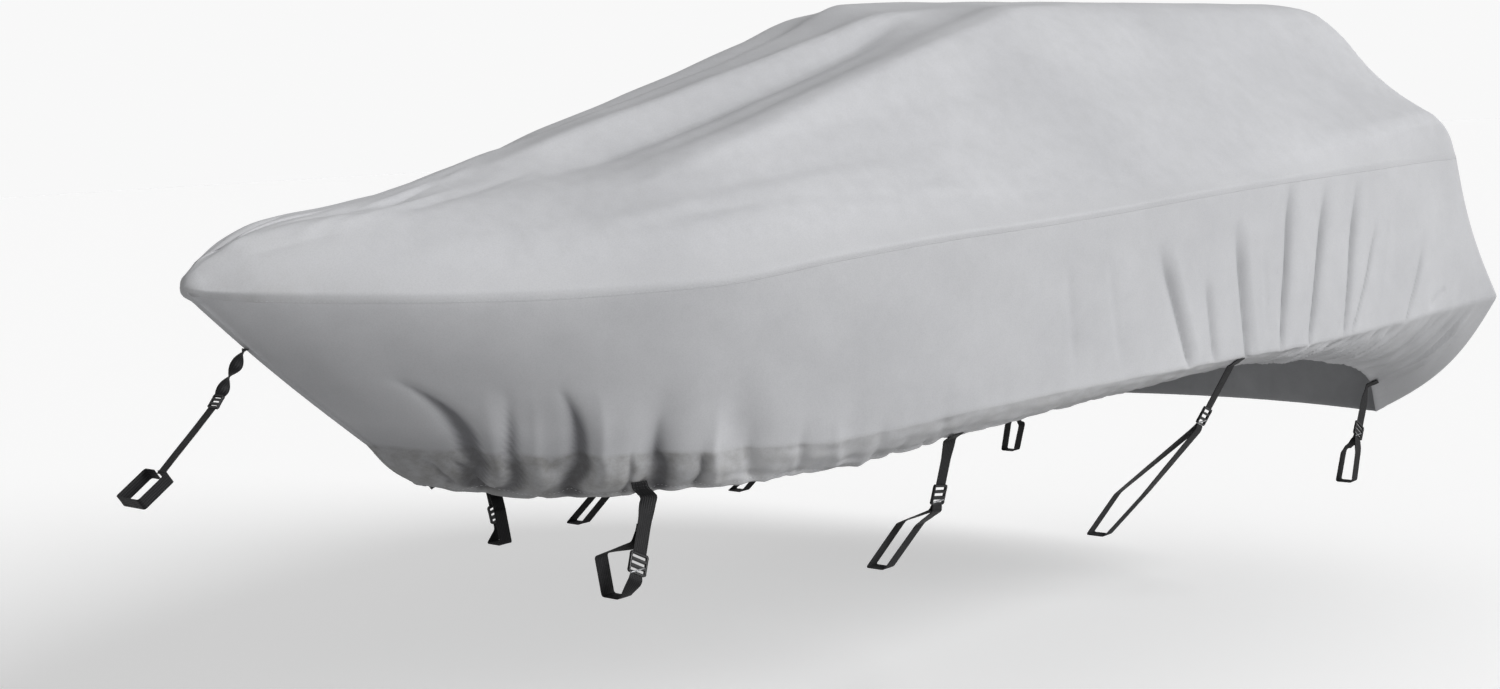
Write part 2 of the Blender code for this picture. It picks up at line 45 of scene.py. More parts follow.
SEAM_SHARE = 0.036  # the seam runs below the gunwale by this share of the wall
CORNER_WRAP = 0.022  # each side turns this far round the stern corner
NOSE_HALF_WIDTH = 0.012
NOSE_FORWARD = 0.005
NOSE_CENTRE = (0.036, 0.0, -0.003)  # the bow's tip is full and round about this point
NOSE_RADIUS = 0.032
NOSE_REACH = 0.042  # the roundness fades out this far from the tip
STERN_X = 3.82
STERN_ROUND = 0.08
STERN_ROUND_START = 3.2
ORIGIN = np.array([2.9, 0.0, 0.5422])
WALL_HEIGHT = 0.45
SHOULDER_ROUND = 0.22  # half widths of rounded corners, as shares of a panel
CREASE_ROUND = 0.012
QUARTER_SAG = 0.022  # how far the cloth sags between shoulder and rail, near the stern
UNDER_FULLNESS = 0.063  # how far the band under the lower crease stands out, as a share of its run
STEM_FULLNESS = 0.012
STERN_WAIST = 0.04  # how far the stern corners draw in, half way down
NOSE_STEP = 0.003  # the first columns of a side lie this much inside the top's edge
GUNWALE_BIAS = 0.96  # below 1, the columns of the top lie closer toward the gunwale

TOP_COLUMNS = "x crown_z shoulder_y shoulder_z rail_y rail_z gunwale_y gunwale_z".split()
TOP_SECTIONS = np.array([
    (0.00, 0.004, 0.004, 0.003, 0.008, 0.002, 0.012, 0.000),
    (0.04, 0.045, 0.014, 0.040, 0.028, 0.020, 0.044, -0.015),
    (0.12, 0.090, 0.035, 0.080, 0.065, 0.045, 0.114, -0.027),
    (0.25, 0.118, 0.070, 0.105, 0.125, 0.050, 0.208, -0.040),
    (0.42, 0.130, 0.120, 0.112, 0.215, 0.043, 0.315, -0.054),
    (0.65, 0.178, 0.190, 0.128, 0.335, 0.043, 0.436, -0.066),
    (0.90, 0.242, 0.260, 0.160, 0.447, 0.057, 0.548, -0.069),
    (1.20, 0.316, 0.320, 0.222, 0.557, 0.071, 0.657, -0.040),
    (1.50, 0.385, 0.365, 0.300, 0.640, 0.072, 0.739, -0.020),
    (1.80, 0.467, 0.385, 0.375, 0.705, 0.066, 0.806, -0.010),
    (2.05, 0.540, 0.385, 0.440, 0.760, 0.068, 0.846, 0.000),
    (2.35, 0.545, 0.380, 0.500, 0.810, 0.078, 0.880, 0.014),
    (2.85, 0.546, 0.430, 0.502, 0.845, 0.094, 0.899, 0.025),
    (3.30, 0.540, 0.490, 0.498, 0.875, 0.116, 0.902, 0.028),
    (3.50, 0.535, 0.520, 0.496, 0.888, 0.134, 0.906, 0.030),
    (3.62, 0.520, 0.540, 0.488, 0.896, 0.144, 0.910, 0.031),
    (3.70, 0.450, 0.565, 0.442, 0.902, 0.148, 0.912, 0.031),
    (3.76, 0.270, 0.590, 0.300, 0.906, 0.130, 0.914, 0.030),
    (3.80, 0.120, 0.610, 0.140, 0.909, 0.090, 0.915, 0.030),
    (3.82, 0.042, 0.630, 0.044, 0.912, 0.040, 0.915, 0.030),
])
SIDE_COLUMNS = "x crease_x crease_y crease_z hem_x hem_y hem_z".split()
SIDE_SECTIONS = np.array([
    (0.00, 0.420, 0.012, -0.378, 0.542, 0.012, -0.483),
    (0.12, 0.485, 0.100, -0.392, 0.620, 0.065, -0.508),
    (0.30, 0.600, 0.205, -0.412, 0.730, 0.165, -0.532),
    (0.55, 0.770, 0.325, -0.435, 0.850, 0.290, -0.539),
    (0.85, 0.980, 0.450, -0.448, 1.020, 0.410, -0.536),
    (1.20, 1.260, 0.585, -0.460, 1.280, 0.530, -0.533),
    (1.60, 1.620, 0.710, -0.436, 1.630, 0.655, -0.498),
    (2.05, 2.050, 0.810, -0.425, 2.060, 0.750, -0.472),
    (2.50, 2.500, 0.866, -0.428, 2.500, 0.790, -0.463),
    (2.95, 2.970, 0.885, -0.442, 2.980, 0.785, -0.496),
    (3.35, 3.420, 0.895, -0.444, 3.420, 0.735, -0.570),
    (3.62, 3.770, 0.910, -0.438, 3.780, 0.645, -0.665),
    (3.82, 4.060, 0.945, -0.430, 4.050, 0.545, -0.817),
])

# Main folds, as on the solids: a line from start to end, its half width and height (troughs are negative)
TOP_FOLDS = [
    (2.15, 0.16, 0.85, 0.09, 0.06, 0.013), (2.1, -0.19, 0.8, -0.07, 0.05, 0.02),
    (2.05, 0.02, 0.85, 0.03, 0.06, -0.008), (2.0, -0.245, 0.85, -0.195, 0.042, -0.012),
    (2.05, -0.415, 1.0, -0.34, 0.055, 0.017),
    (2.05, 0.3, 1.0, 0.22, 0.05, -0.008), (1.75, 0.42, 1.05, 0.34, 0.05, 0.008),
    (0.5, -0.05, 0.12, -0.02, 0.018, -0.007), (0.55, 0.07, 0.16, 0.035, 0.02, 0.006),
    (1.05, -0.42, 1.9, -0.6, 0.05, -0.007), (1.1, 0.45, 1.85, 0.6, 0.055, -0.006),
]
PORT_PLEATS = [
    (0.62, 0.62, 0.8, 1.85, 0.04, -0.016), (0.86, 0.7, 0.9, 1.9, 0.038, -0.018),
    (1.02, 0.66, 1.1, 1.8, 0.042, -0.012), (1.28, 0.78, 1.3, 1.75, 0.04, -0.005),
    (2.2, 0.29, 2.33, 1.0, 0.026, -0.004), (2.39, 0.5, 2.44, 1.0, 0.024, -0.003),
    (2.53, 0.24, 2.6, 1.0, 0.026, -0.005), (2.8, 0.1, 2.77, 1.0, 0.028, -0.006),
    (3.0, 0.14, 2.93, 1.0, 0.028, -0.006), (3.19, 0.14, 3.12, 1.0, 0.026, -0.005),
    (3.61, 0.5, 3.51, 1.0, 0.026, -0.003),
]
STARBOARD_PLEATS = [
    (0.6, 0.66, 0.76, 1.85, 0.042, -0.015), (0.9, 0.68, 0.96, 1.9, 0.04, -0.017),
    (1.12, 0.72, 1.16, 1.75, 0.04, -0.014), (2.34, 0.4, 2.28, 1.0, 0.026, -0.008),
    (2.62, 0.28, 2.52, 1.0, 0.026, -0.011), (2.9, 0.18, 2.74, 1.0, 0.028, -0.012),
    (3.14, 0.12, 2.94, 1.0, 0.028, -0.013), (3.36, 0.2, 3.16, 1.0, 0.026, -0.01),
    (3.64, 0.36, 3.52, 1.0, 0.026, -0.007),
]
TRANSOM_PLEATS = [
    (-0.62, 0.3, -0.7, 1.2, 0.04, -0.012), (-0.36, 0.45, -0.4, 1.6, 0.04, -0.011),
    (-0.05, 0.55, -0.04, 1.8, 0.042, -0.01), (0.28, 0.4, 0.34, 1.6, 0.04, -0.012),
    (0.58, 0.3, 0.66, 1.25, 0.04, -0.011),
]

# Tie-downs, their sizes in the order in which build_strap names them
STRAPS = {
    "1": (0.64, 1.6, 0.83, 0.36, -0.676, 0.822, 0.798, 0.784, 0.345, 0.5, 2.0),
    "2": (1.56, 1.78, 1.574, 0.612, -0.637, 1.59, 1.463, 1.585, 0.54, 1.0, 2.0),
    "3": (2.56, 1.06, 2.507, 0.785, -0.582, 2.42, 2.226, 2.365, 0.655, 1.0, 1.35),
    "4": (3.66, 1.93, 3.72, 0.64, -0.822, 3.68, 3.65, 3.69, 0.655, 1.0, 2.0),
}
STARBOARD_STRAP_1 = (0.95, 1.6, 1.13, 0.45, -0.7, 1.122, 1.098, 1.084, 0.435, 0.5, 2.0)
WEBBING_WIDTH = 0.038
WEBBING = 0.0017
RAIL_HIGH = 0.09
RAIL_WIDE = 0.05
RAIL_SLOPE = -0.079
RAIL_TOP_AT_BOW = -0.592
BUCKLE_LENGTH = 0.048
BUCKLE_WIDTH = 0.05
BUCKLE_THICK = 0.007
PROBE = 0.05  # reach of the rays that find the cloth under a strap
PROBES_ACROSS = np.linspace(-0.6, 0.6, 13)  # their places across a strap, as a share of its width
PROBES_DOWN = (-0.005, 0, 0.005)
SLOPE_SHARE = 0.2
SEWN = 0.0003  # gap between a strap and the cloth that it is sewn to
HEM_OVERHANG = 0.012  # a strap leaves the cloth this far below the hem
TURN_SHARE = 0.4  # share of the leg to the buckle in which the webbing turns to face the rail
STRAP_LEAD = 0.014  # straight webbing just below a buckle
LAYER = 0.0026  # between the middles of two lengths of webbing that lie on each other
LEG_ASIDE = 0.005


def smooth_curve(knots, values, slopes, places):
    """The curve through the values at the knots that has these slopes there."""
    cell = np.clip(np.searchsorted(knots, places, side="right") - 1, 0, len(knots) - 2)
    span, past = knots[cell + 1] - knots[cell], places - knots[cell]
    if values.ndim > 1:
        span, past = span[:, None], past[:, None]
    t = past / span
    level = values[cell] * (1 + 2 * t) * (1 - t) ** 2 + values[cell + 1] * t ** 2 * (3 - 2 * t)
    return level + span * (slopes[cell] * t * (1 - t) ** 2 + slopes[cell + 1] * t ** 2 * (t - 1))


def along(columns, rows, name, x):
    """The named column at x, on a smooth curve through the rows that never overshoots them."""
    knots = rows[:, 0]
    values = rows[:, columns.index(name)]
    rises = np.diff(values) / np.diff(knots)
    product = rises[:-1] * rises[1:]
    total = rises[:-1] + rises[1:]
    inner = np.where(product > 0, 2 * product / np.where(total == 0, 1, total), 0)
    return smooth_curve(knots, values, np.concatenate([rises[:1], inner, rises[-1:]]), x)


def ease(start, end, value):
    """0 up to the start, 1 from the end on, and a soft rise between them."""
    t = np.clip((value - start) / (end - start), 0, 1)
    return t * t * (3 - 2 * t)


def arch(share):
    """0 at both ends of the share and 1 half way."""
    return np.sin(np.pi * np.clip(share, 0, 1))


def bell(aside):
    """Profile of a soft fold."""
    return np.exp(-(aside ** 2))


def pinch(aside):
    """Profile of a sharp fold."""
    return np.exp(0.3 - np.sqrt(2 * aside ** 2 + 0.09))


def folds(rows, u, v, profile=bell):
    """Height of the folds at (u, v): each row is a line that swells in and fades out along its length."""
    height = 0
    for start_u, start_v, end_u, end_v, half_width, depth in rows:
        run = np.array([end_u - start_u, end_v - start_v])
        length = np.linalg.norm(run)
        share = ((u - start_u) * run[0] + (v - start_v) * run[1]) / length ** 2
        aside = ((u - start_u) * run[1] - (v - start_v) * run[0]) / length / half_width
        fade = ease(-0.15, 0.2, share) * ease(1.12, 0.85, share)
        height += depth * fade * profile(aside)
    return height


def wall_folds(rows, u, down, profile=bell):
    """Folds of a wall, whose rows give the way down as a share of the wall."""
    scaled = [(a, b * WALL_HEIGHT, c, d * WALL_HEIGHT, w, h) for a, b, c, d, w, h in rows]
    return folds(scaled, u, down * WALL_HEIGHT, profile)


def drawn_folds(rows, run, aside):
    """Height of curved folds: each row gives places aside at stations, a half width and a height."""
    height = 0
    for stations, places, half_widths, depth in rows:
        first, last = stations[0], stations[-1]
        span = last - first
        curve = np.polyfit(stations, places, min(3, len(stations) - 1))
        line = np.polyval(curve, np.clip(run, first, last))
        swell = ease(first - 0.1 * span, first + 0.35 * span, run)
        fade = ease(last + 0.1 * span, last - 0.08 * span, run)
        half_width = np.interp(run, (first, last), np.broadcast_to(half_widths, 2))
        height += depth * swell * fade * pinch((aside - line) / half_width)
    return height


def ripple(u, v, pitch, seed):
    """Soft uneven waves of about this pitch, between -1 and 1, the same each time."""
    waves = np.random.default_rng(seed)
    total = 0
    for _ in range(9):
        turn = waves.uniform(0, np.pi)
        number = 2 * np.pi / (pitch * waves.uniform(0.6, 1.7))
        total += np.sin(number * (u * np.cos(turn) + v * np.sin(turn)) + waves.uniform(0, 2 * np.pi))
    return total / 4.5


def rounded(place, values, halves):
    """Straight runs between values at 0, 1, 2 ..., with each inner corner rounded over its half width."""
    rises = [high - low for low, high in zip(values, values[1:])]
    result = values[0] + rises[0] * place
    for i, half in enumerate(halves):
        t = place - (i + 1)
        ramp = np.where(t < -half, 0, np.where(t > half, t, (t + half) ** 2 / (4 * half)))
        result += (rises[i + 1] - rises[i]) * ramp
    return result


def hull(x, q, side):
    """Outer face of the cloth: q is 0 at the middle, 1 shoulder, 2 rail, 3 gunwale, 4 lower crease, 5 hem."""
    x, q = np.broadcast_arrays(x, q)
    marks = [(x, 0 * x, along(TOP_COLUMNS, TOP_SECTIONS, "crown_z", x))]
    for name in ("shoulder", "rail", "gunwale"):
        y, z = (along(TOP_COLUMNS, TOP_SECTIONS, f"{name}_{axis}", x) for axis in "yz")
        marks.append((x, y, z))
    for name in ("crease", "hem"):
        marks.append(tuple(along(SIDE_COLUMNS, SIDE_SECTIONS, f"{name}_{axis}", x) for axis in "xyz"))
    (_, _, crown_z), (_, _, shoulder_z), (_, _, rail_z) = marks[:3]
    kept = SHOULDER_ROUND / 8 * (2 * shoulder_z - crown_z - rail_z)
    marks[1] = (*marks[1][:2], shoulder_z + kept)
    gunwale_round = 0.1 - 0.088 * ease(0.45, 1.3, x)
    halves = (SHOULDER_ROUND, SHOULDER_ROUND, gunwale_round, CREASE_ROUND)
    point = np.stack([rounded(q, [mark[i] for mark in marks], halves) for i in range(3)], axis=-1)
    down = q - 3
    sag = QUARTER_SAG * ease(2.9, 3.5, x) * ease(STERN_X, 3.71, x) * arch(q - 1)
    point[..., 1:] -= sag[..., None]
    share = np.clip(point[..., 1] / marks[3][1], 0, 1)
    on_top = down < 0
    point[..., 0] += on_top * STERN_ROUND * ease(STERN_ROUND_START, STERN_X, x) * (1 - share ** 2)
    point[..., 2] += on_top * folds(TOP_FOLDS, x, side * point[..., 1])
    run = np.linalg.norm([marks[5][i] - marks[4][i] for i in range(3)], axis=0)
    fullness = UNDER_FULLNESS * run * arch(down - 1)
    point[..., 1] += fullness
    point[..., 2] -= fullness
    point[..., 0] -= STEM_FULLNESS * (1 - ease(0, 0.3, x)) * arch(down)
    point[..., 0] -= STERN_WAIST * ease(3.5, STERN_X, x) * arch((down - SEAM_SHARE) / (1 - SEAM_SHARE))
    pleats = PORT_PLEATS if side < 0 else STARBOARD_PLEATS
    fold = wall_folds(pleats, point[..., 0], down) * ease(0, 0.15, x) * ease(-0.02, 0.05, down)
    point[..., 1] = np.maximum(point[..., 1] + fold, ~on_top * NOSE_HALF_WIDTH)
    away = point - np.array(NOSE_CENTRE)
    reach = np.linalg.norm(away, axis=-1)
    near_tip = np.exp(-((np.linalg.norm(point, axis=-1) / NOSE_REACH) ** 4))
    point += away * (near_tip * (NOSE_RADIUS - reach) / reach)[..., None]
    point[..., 1] *= side
    return point


def transom(share, down):
    """Outer face of the transom, at this share of the way from the middle to a corner."""
    share, down = np.broadcast_arrays(share, down)
    point = hull(STERN_X, 3 + down, 1)
    point[..., 1] *= share
    point[..., 0] += STERN_ROUND * (1 - share ** 2)
    point[..., 0] += wall_folds(TRANSOM_PLEATS, point[..., 1], down) * (1 - share ** 4)
    return point


def normals(points, outward):
    """Unit normals of a grid of points, all facing outward."""
    found = np.cross(np.gradient(points, axis=1), np.gradient(points, axis=0))
    found /= np.maximum(np.linalg.norm(found, axis=-1, keepdims=True), 1e-12)
    return found * (1 if (found @ np.array(outward)).sum() > 0 else -1)


def run_lengths(points, axis=0):
    """Length along lines of points, from the first point to each."""
    steps = np.linalg.norm(np.diff(points, axis=axis), axis=-1)
    return np.cumsum(np.insert(steps, 0, 0, axis=axis), axis=axis)


def spread_along(points, count):
    """Places 0 to 1 that space the points of a line evenly by length."""
    runs = run_lengths(points)
    return np.interp(np.linspace(0, runs[-1], count), runs, np.linspace(0, 1, len(points)))


def between(knots, points, places):
    """The line of points at these places, straight from knot to knot."""
    return np.stack([np.interp(places, knots, points[:, i]) for i in range(3)], axis=1)


# Materials
def feed(tree, value, socket):
    """Links a node's output to the socket, or sets a plain value there."""
    if hasattr(value, "is_linked"):
        tree.links.new(value, socket)
    else:
        socket.default_value = value


def add_node(tree, kind, values=None, **settings):
    node = tree.nodes.new("ShaderNode" + kind)
    for key, value in settings.items():
        setattr(node, key, value)
    for key, value in (values or {}).items():
        feed(tree, value, node.inputs[key])
    return node


def math_node(tree, operation, *values):
    node = add_node(tree, "Math", operation=operation)
    for socket, value in zip(node.inputs, values):
        feed(tree, value, socket)
    return node.outputs[0]


def multiply(tree, amount, a, b):
    node = add_node(tree, "Mix", {"Factor": amount, "A": a, "B": b}, data_type="RGBA", blend_type="MULTIPLY")
    return node.outputs["Result"]


def ramp(tree, fac, *stops):
    node = add_node(tree, "ValToRGB", {"Fac": fac})
    elements = node.color_ramp.elements
    for element, (place, colour) in zip(elements, stops):
        element.position = place
        element.color = (*colour, 1) if isinstance(colour, tuple) else (colour, colour, colour, 1)
    return node.outputs["Color"]


def noise(tree, scale, detail, roughness=0.5):
    """Uneven patches or grain, fixed to the piece."""
    place = add_node(tree, "TexCoord").outputs["Object"]
    values = {"Vector": place, "Scale": scale, "Detail": detail, "Roughness": roughness}
    return add_node(tree, "TexNoise", values).outputs["Fac"]


def threads(tree, direction, scale, distortion, detail=2.0):
    """Threads or ribs across the cloth's own measure."""
    measure = add_node(tree, "UVMap", uv_map="cloth_measure").outputs["UV"]
    values = {"Vector": measure, "Scale": scale, "Distortion": distortion, "Detail": detail}
    return add_node(tree, "TexWave", values, bands_direction=direction).outputs["Fac"]


def material(name, colour, roughness, **sockets):
    made = bpy.data.materials.new(name)
    made.use_nodes = True
    shader = made.node_tree.nodes["Principled BSDF"]
    for socket, value in {"Base Color": (*colour, 1), "Roughness": roughness, **sockets}.items():
        shader.inputs[socket.replace("_", " ")].default_value = value
    return made, made.node_tree


def finish_shader(made, tone, roughness, height, strength, distance):
    """Gives a finish its colour, its uneven gloss and its fine relief."""
    tree = made.node_tree
    relief = {"Height": height, "Strength": strength, "Distance": distance}
    bump = add_node(tree, "Bump", relief).outputs["Normal"]
    for socket, source in {"Base Color": tone, "Roughness": roughness, "Normal": bump}.items():
        tree.links.new(source, tree.nodes["Principled BSDF"].inputs[socket])
    return made


def cloth_material(name, light, dark, soil_and_band_shade):
    """Coated polyester: a fine plain weave, soft fading, a little soiling and painted shade."""
    made, tree = material(name, light, 0.72, Specular_IOR_Level=0.35, Sheen_Weight=0.06, Sheen_Roughness=0.5)
    checks = math_node(tree, "MULTIPLY", *(threads(tree, direction, 130.0, 0.6, 1.0) for direction in "XY"))
    mottle = noise(tree, 26.0, 6.0, 0.62)
    tone = ramp(tree, noise(tree, 2.2, 4.0, 0.55), (0.3, dark), (0.66, light))
    tone = multiply(tree, 0.7, tone, ramp(tree, mottle, (0.3, 0.91), (0.62, 1.0)))
    tone = multiply(tree, 0.35, tone, ramp(tree, noise(tree, 340.0, 3.0), (0.35, 0.82), (0.6, 1.0)))
    tone = multiply(tree, 0.22, tone, ramp(tree, checks, (0.0, 0.78), (0.5, 1.0)))
    soil_and_painted_shade = add_node(tree, "VertexColor", layer_name="soil_and_painted_shade").outputs["Color"]
    parts = add_node(tree, "SeparateColor", {"Color": soil_and_painted_shade})
    # Red of the vertex colours: soiling, which on the band under the lower crease is also painted shade
    marks = math_node(tree, "MULTIPLY", parts.outputs["Red"], ramp(tree, mottle, (0.35, 0.25), (0.65, 1.0)))
    tone = multiply(tree, marks, tone, (*soil_and_band_shade, 1))
    # Green of the vertex colours: painted shade, darker in creases and where less light falls
    tone = multiply(tree, parts.outputs["Green"], tone, (0.34, 0.34, 0.35, 1))
    grain = (math_node(tree, "MULTIPLY", *pair) for pair in ((checks, 0.6), (mottle, 0.7)))
    height = math_node(tree, "ADD", *grain)
    return finish_shader(made, tone, ramp(tree, mottle, (0.3, 0.6), (0.7, 0.8)), height, 0.35, 0.0009)


def webbing_material(name, dark, light):
    """Black polypropylene webbing: ribs along its length, crossing picks and paler flecks where ribs and dust
    meet.
    """
    made, tree = material(name, dark, 0.6, Specular_IOR_Level=0.25, Sheen_Weight=0.06, Sheen_Roughness=0.4)
    ribs, picks = threads(tree, "Y", 62.0, 0.3), threads(tree, "X", 95.0, 1.0)
    weave = math_node(tree, "ADD", ribs, math_node(tree, "MULTIPLY", picks, 0.5))
    dust = noise(tree, 60.0, 5.0, 0.65)
    tone = ramp(tree, math_node(tree, "MULTIPLY", weave, dust), (0.15, dark), (0.85, light))
    return finish_shader(made, tone, ramp(tree, dust, (0.3, 0.48), (0.7, 0.7)), weave, 0.7, 0.0006)


def hard_material(name, dark, light, metallic, rough_low, rough_high):
    """Moulded plastic, thread or metal, with a fine grain and a little scuffing."""
    made, tree = material(name, dark, rough_low, Metallic=metallic)
    scuff = noise(tree, 45.0, 6.0, 0.7)
    tone = ramp(tree, scuff, (0.42, dark), (0.72, light))
    roughness = ramp(tree, scuff, (0.3, rough_low), (0.7, rough_high))
    return finish_shader(made, tone, roughness, noise(tree, 540.0, 3.0), 0.25, 0.0004)


COATED_CLOTH = cloth_material(
    "coated_cloth_grey", (0.6, 0.605, 0.625), (0.53, 0.535, 0.555), (0.62, 0.61, 0.58),
)
CLOTH_BACK = cloth_material("cloth_back_coating", (0.42, 0.425, 0.44), (0.36, 0.365, 0.38), (0.6, 0.6, 0.58))
BLACK_WEBBING = webbing_material("black_webbing", (0.004, 0.004, 0.0045), (0.018, 0.018, 0.02))
BUCKLE_PLASTIC = hard_material(
    "moulded_black_plastic", (0.008, 0.008, 0.009), (0.022, 0.022, 0.024), 0.0, 0.32, 0.5,
)
BAR_METAL = hard_material("plated_bar", (0.55, 0.56, 0.58), (0.7, 0.71, 0.72), 0.85, 0.22, 0.38)
GREY_THREAD = hard_material("grey_thread", (0.5, 0.505, 0.52), (0.62, 0.625, 0.64), 0.0, 0.6, 0.8)
BLACK_THREAD = hard_material("black_thread", (0.03, 0.03, 0.032), (0.07, 0.07, 0.073), 0.0, 0.55, 0.7)


# Making pieces
def put_in_scene(name, data):
    placed = bpy.data.objects.new(name, data)
    bpy.context.scene.collection.objects.link(placed)
    return placed


def finish_piece(name, bm, *finishes):
    """A named piece from a bmesh measured from the bow tip, moved to the cover's origin."""
    bmesh.ops.translate(bm, verts=bm.verts, vec=Vector(-ORIGIN))
    mesh = bpy.data.meshes.new(name)
    bm.to_mesh(mesh)
    bm.free()
    for finish in finishes:
        mesh.materials.append(finish)
    mesh.shade_smooth()
    made = put_in_scene(name, mesh)
    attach(made, "root")
    return made


def add_modifier(piece, name, kind, **settings):
    made = piece.modifiers.new(name, kind)
    for key, value in settings.items():
        setattr(made, key, value)


def set_on(x, y, z, centre):
    """Lays a shape's own axes on these directions, about this centre."""
    turn = Matrix((x, y, z)).transposed().to_4x4()
    turn.translation = Vector(centre)
    return turn


def round_edges(bm, edges, radius, steps):
    bmesh.ops.bevel(bm, geom=edges, offset=radius, segments=steps, profile=0.5, affect="EDGES", material=-1)


def plain_grid(rows, columns):
    """A flat bmesh grid, and its points with the row and column of each."""
    bm = bmesh.new()
    bmesh.ops.create_grid(bm, x_segments=columns - 1, y_segments=rows - 1, size=1)
    places = np.array([vert.co[:2] for vert in bm.verts])
    column, row = np.rint((places + 1) / 2 * (columns - 1, rows - 1)).astype(int).T
    return bm, zip(bm.verts, row, column)


def woven_grid(points, outward, measures=None, soil_and_painted_shade=None):
    """A bmesh grid moved onto the points, with its own measure in metres as a UV map."""
    bm, places = plain_grid(*points.shape[:2])
    if measures is None:
        measures = np.stack([run_lengths(points, 1), run_lengths(points, 0)], axis=-1)
    measure = bm.loops.layers.uv.new("cloth_measure")
    # Vertex colours for the cloth: red for soiling, green for painted shade
    soil_shade_layer = None if soil_and_painted_shade is None else bm.verts.layers.float_color.new("soil_and_painted_shade")
    for vert, i, j in places:
        vert.co = points[i, j]
        for loop in vert.link_loops:
            loop[measure].uv = measures[i, j]
        if soil_shade_layer:
            vert[soil_shade_layer] = (*soil_and_painted_shade[i, j], 0, 1)
    bmesh.ops.remove_doubles(bm, verts=bm.verts, dist=0.00005)
    bm.normal_update()
    if sum(face.normal.dot(Vector(outward)) * face.calc_area() for face in bm.faces) < 0:
        bmesh.ops.reverse_faces(bm, faces=bm.faces)
    return bm


def stitches(name, places, directions, outs, finish, length=0.0055, width=0.0011):
    """Thread stitches, one at each place, lying along their directions."""
    bm = bmesh.new()
    for place, ahead, out in zip(places, directions, outs):
        ahead = Vector(ahead).normalized()
        out = (Vector(out) - ahead * Vector(out).dot(ahead)).normalized()
        turn = set_on(ahead * length / 2, ahead.cross(out) * width / 2, out * width * 0.5, place)
        bmesh.ops.create_icosphere(bm, subdivisions=1, radius=1, matrix=turn)
    bmesh.ops.recalc_face_normals(bm, faces=bm.faces)
    return finish_piece(name, bm, finish)


def sewn_line(name, line, outs, pitch=0.01):
    """A row of grey stitches along a line of points on the cloth."""
    knots = np.arange(len(line))
    places = spread_along(line, int(run_lengths(line)[-1] / pitch)) * knots[-1]
    middles, raised = between(knots, line, places), between(knots, outs, places)
    made = stitches(name, middles, np.gradient(middles, axis=0), raised, GREY_THREAD, 0.0065, 0.001)


def cloth_sheet(name, points, outward, soil_and_band_shade, shade, node):
    """A sheet of coated cloth on these points of its outer face, with its soiling and painted shade as vertex
    colours.
    """
    soil_and_painted_shade = np.stack([soil_and_band_shade, shade], axis=-1)
    sheet = finish_piece(name, woven_grid(points, outward, soil_and_painted_shade=soil_and_painted_shade), COATED_CLOTH, CLOTH_BACK)
    sides = {"offset": -1, "material_offset": 1, "material_offset_rim": 0}
    add_modifier(sheet, "cloth thickness", "SOLIDIFY", thickness=CLOTH, **sides)
    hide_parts(node)


SEAM_EDGE = SEAM_SHARE - 0.0016  # the top's edge, over the tucked edge of the sides
SEAM_ROWS = SEAM_EDGE + np.array([-0.026, -0.004, 0.0, 0.0012, 0.0018, 0.004, 0.012])
HEM_STITCHES = 1.9  # their way down, between the lower crease at 1 and the hem's edge at 2


def seam_hollow(x, down):
    """The soft hollow that the seam draws in."""
    return -0.0003 * ease(0.9, 1.5, x) * bell((down - SEAM_EDGE) / 0.014)


def seam_lap(x, down):
    """How far the sides and the transom tuck under the top's edge, in that hollow."""
    return -0.0011 * ease(SEAM_EDGE + 0.0012, SEAM_EDGE, down) + seam_hollow(x, down)


def wall_rows(above, below):
    """Ways down a wall: at its seam, and then above and below its lower crease."""
    return np.unique(np.concatenate([SEAM_ROWS, np.linspace(0.06, 1, above), np.linspace(1, 2, below)]))


def hem_roll(down):
    """How far the rolled hem stands out."""
    return 0.0016 * ease(1.93, 1.945, down)


def turned_under(down):
    """0 above the lower crease and 1 on the band under it, which is coloured darker: partly soiling, partly
    painted shade.
    """
    return ease(0.985, 1.015, down)


# Fine folds of the top, beside the main ones: sharp creases and soft wrinkles
TOP_WRINKLES = [
    (0.71, -0.037, 0.41, -0.037, 0.016, 0.008), (0.36, -0.004, 0.06, -0.004, 0.01, -0.009),
    (0.11, -0.056, 0.06, -0.01, 0.01, -0.005), (0.35, -0.083, 0.22, -0.084, 0.012, 0.005),
    (0.66, -0.03, 0.36, -0.08, 0.012, -0.006), (0.28, -0.11, 0.12, -0.06, 0.012, -0.005),
    (0.6, -0.095, 0.3, -0.105, 0.014, 0.005), (0.8, -0.14, 0.45, -0.125, 0.018, -0.005),
    (0.12, 0.02, 0.05, 0.012, 0.008, -0.004), (0.9, 0.02, 0.4, 0.03, 0.018, 0.005),
    (1.9, 0.05, 0.9, 0.02, 0.026, -0.006), (2.0, 0.24, 1.1, 0.16, 0.03, 0.005),
    (2.05, 0.37, 1.2, 0.3, 0.022, -0.006), (1.8, 0.48, 1.1, 0.4, 0.024, -0.005),
    (0.5, 0.11, 0.25, 0.07, 0.014, -0.004), (0.26, 0.03, 0.06, -0.008, 0.01, -0.008),
    (0.32, -0.03, 0.09, -0.03, 0.01, 0.005),
]
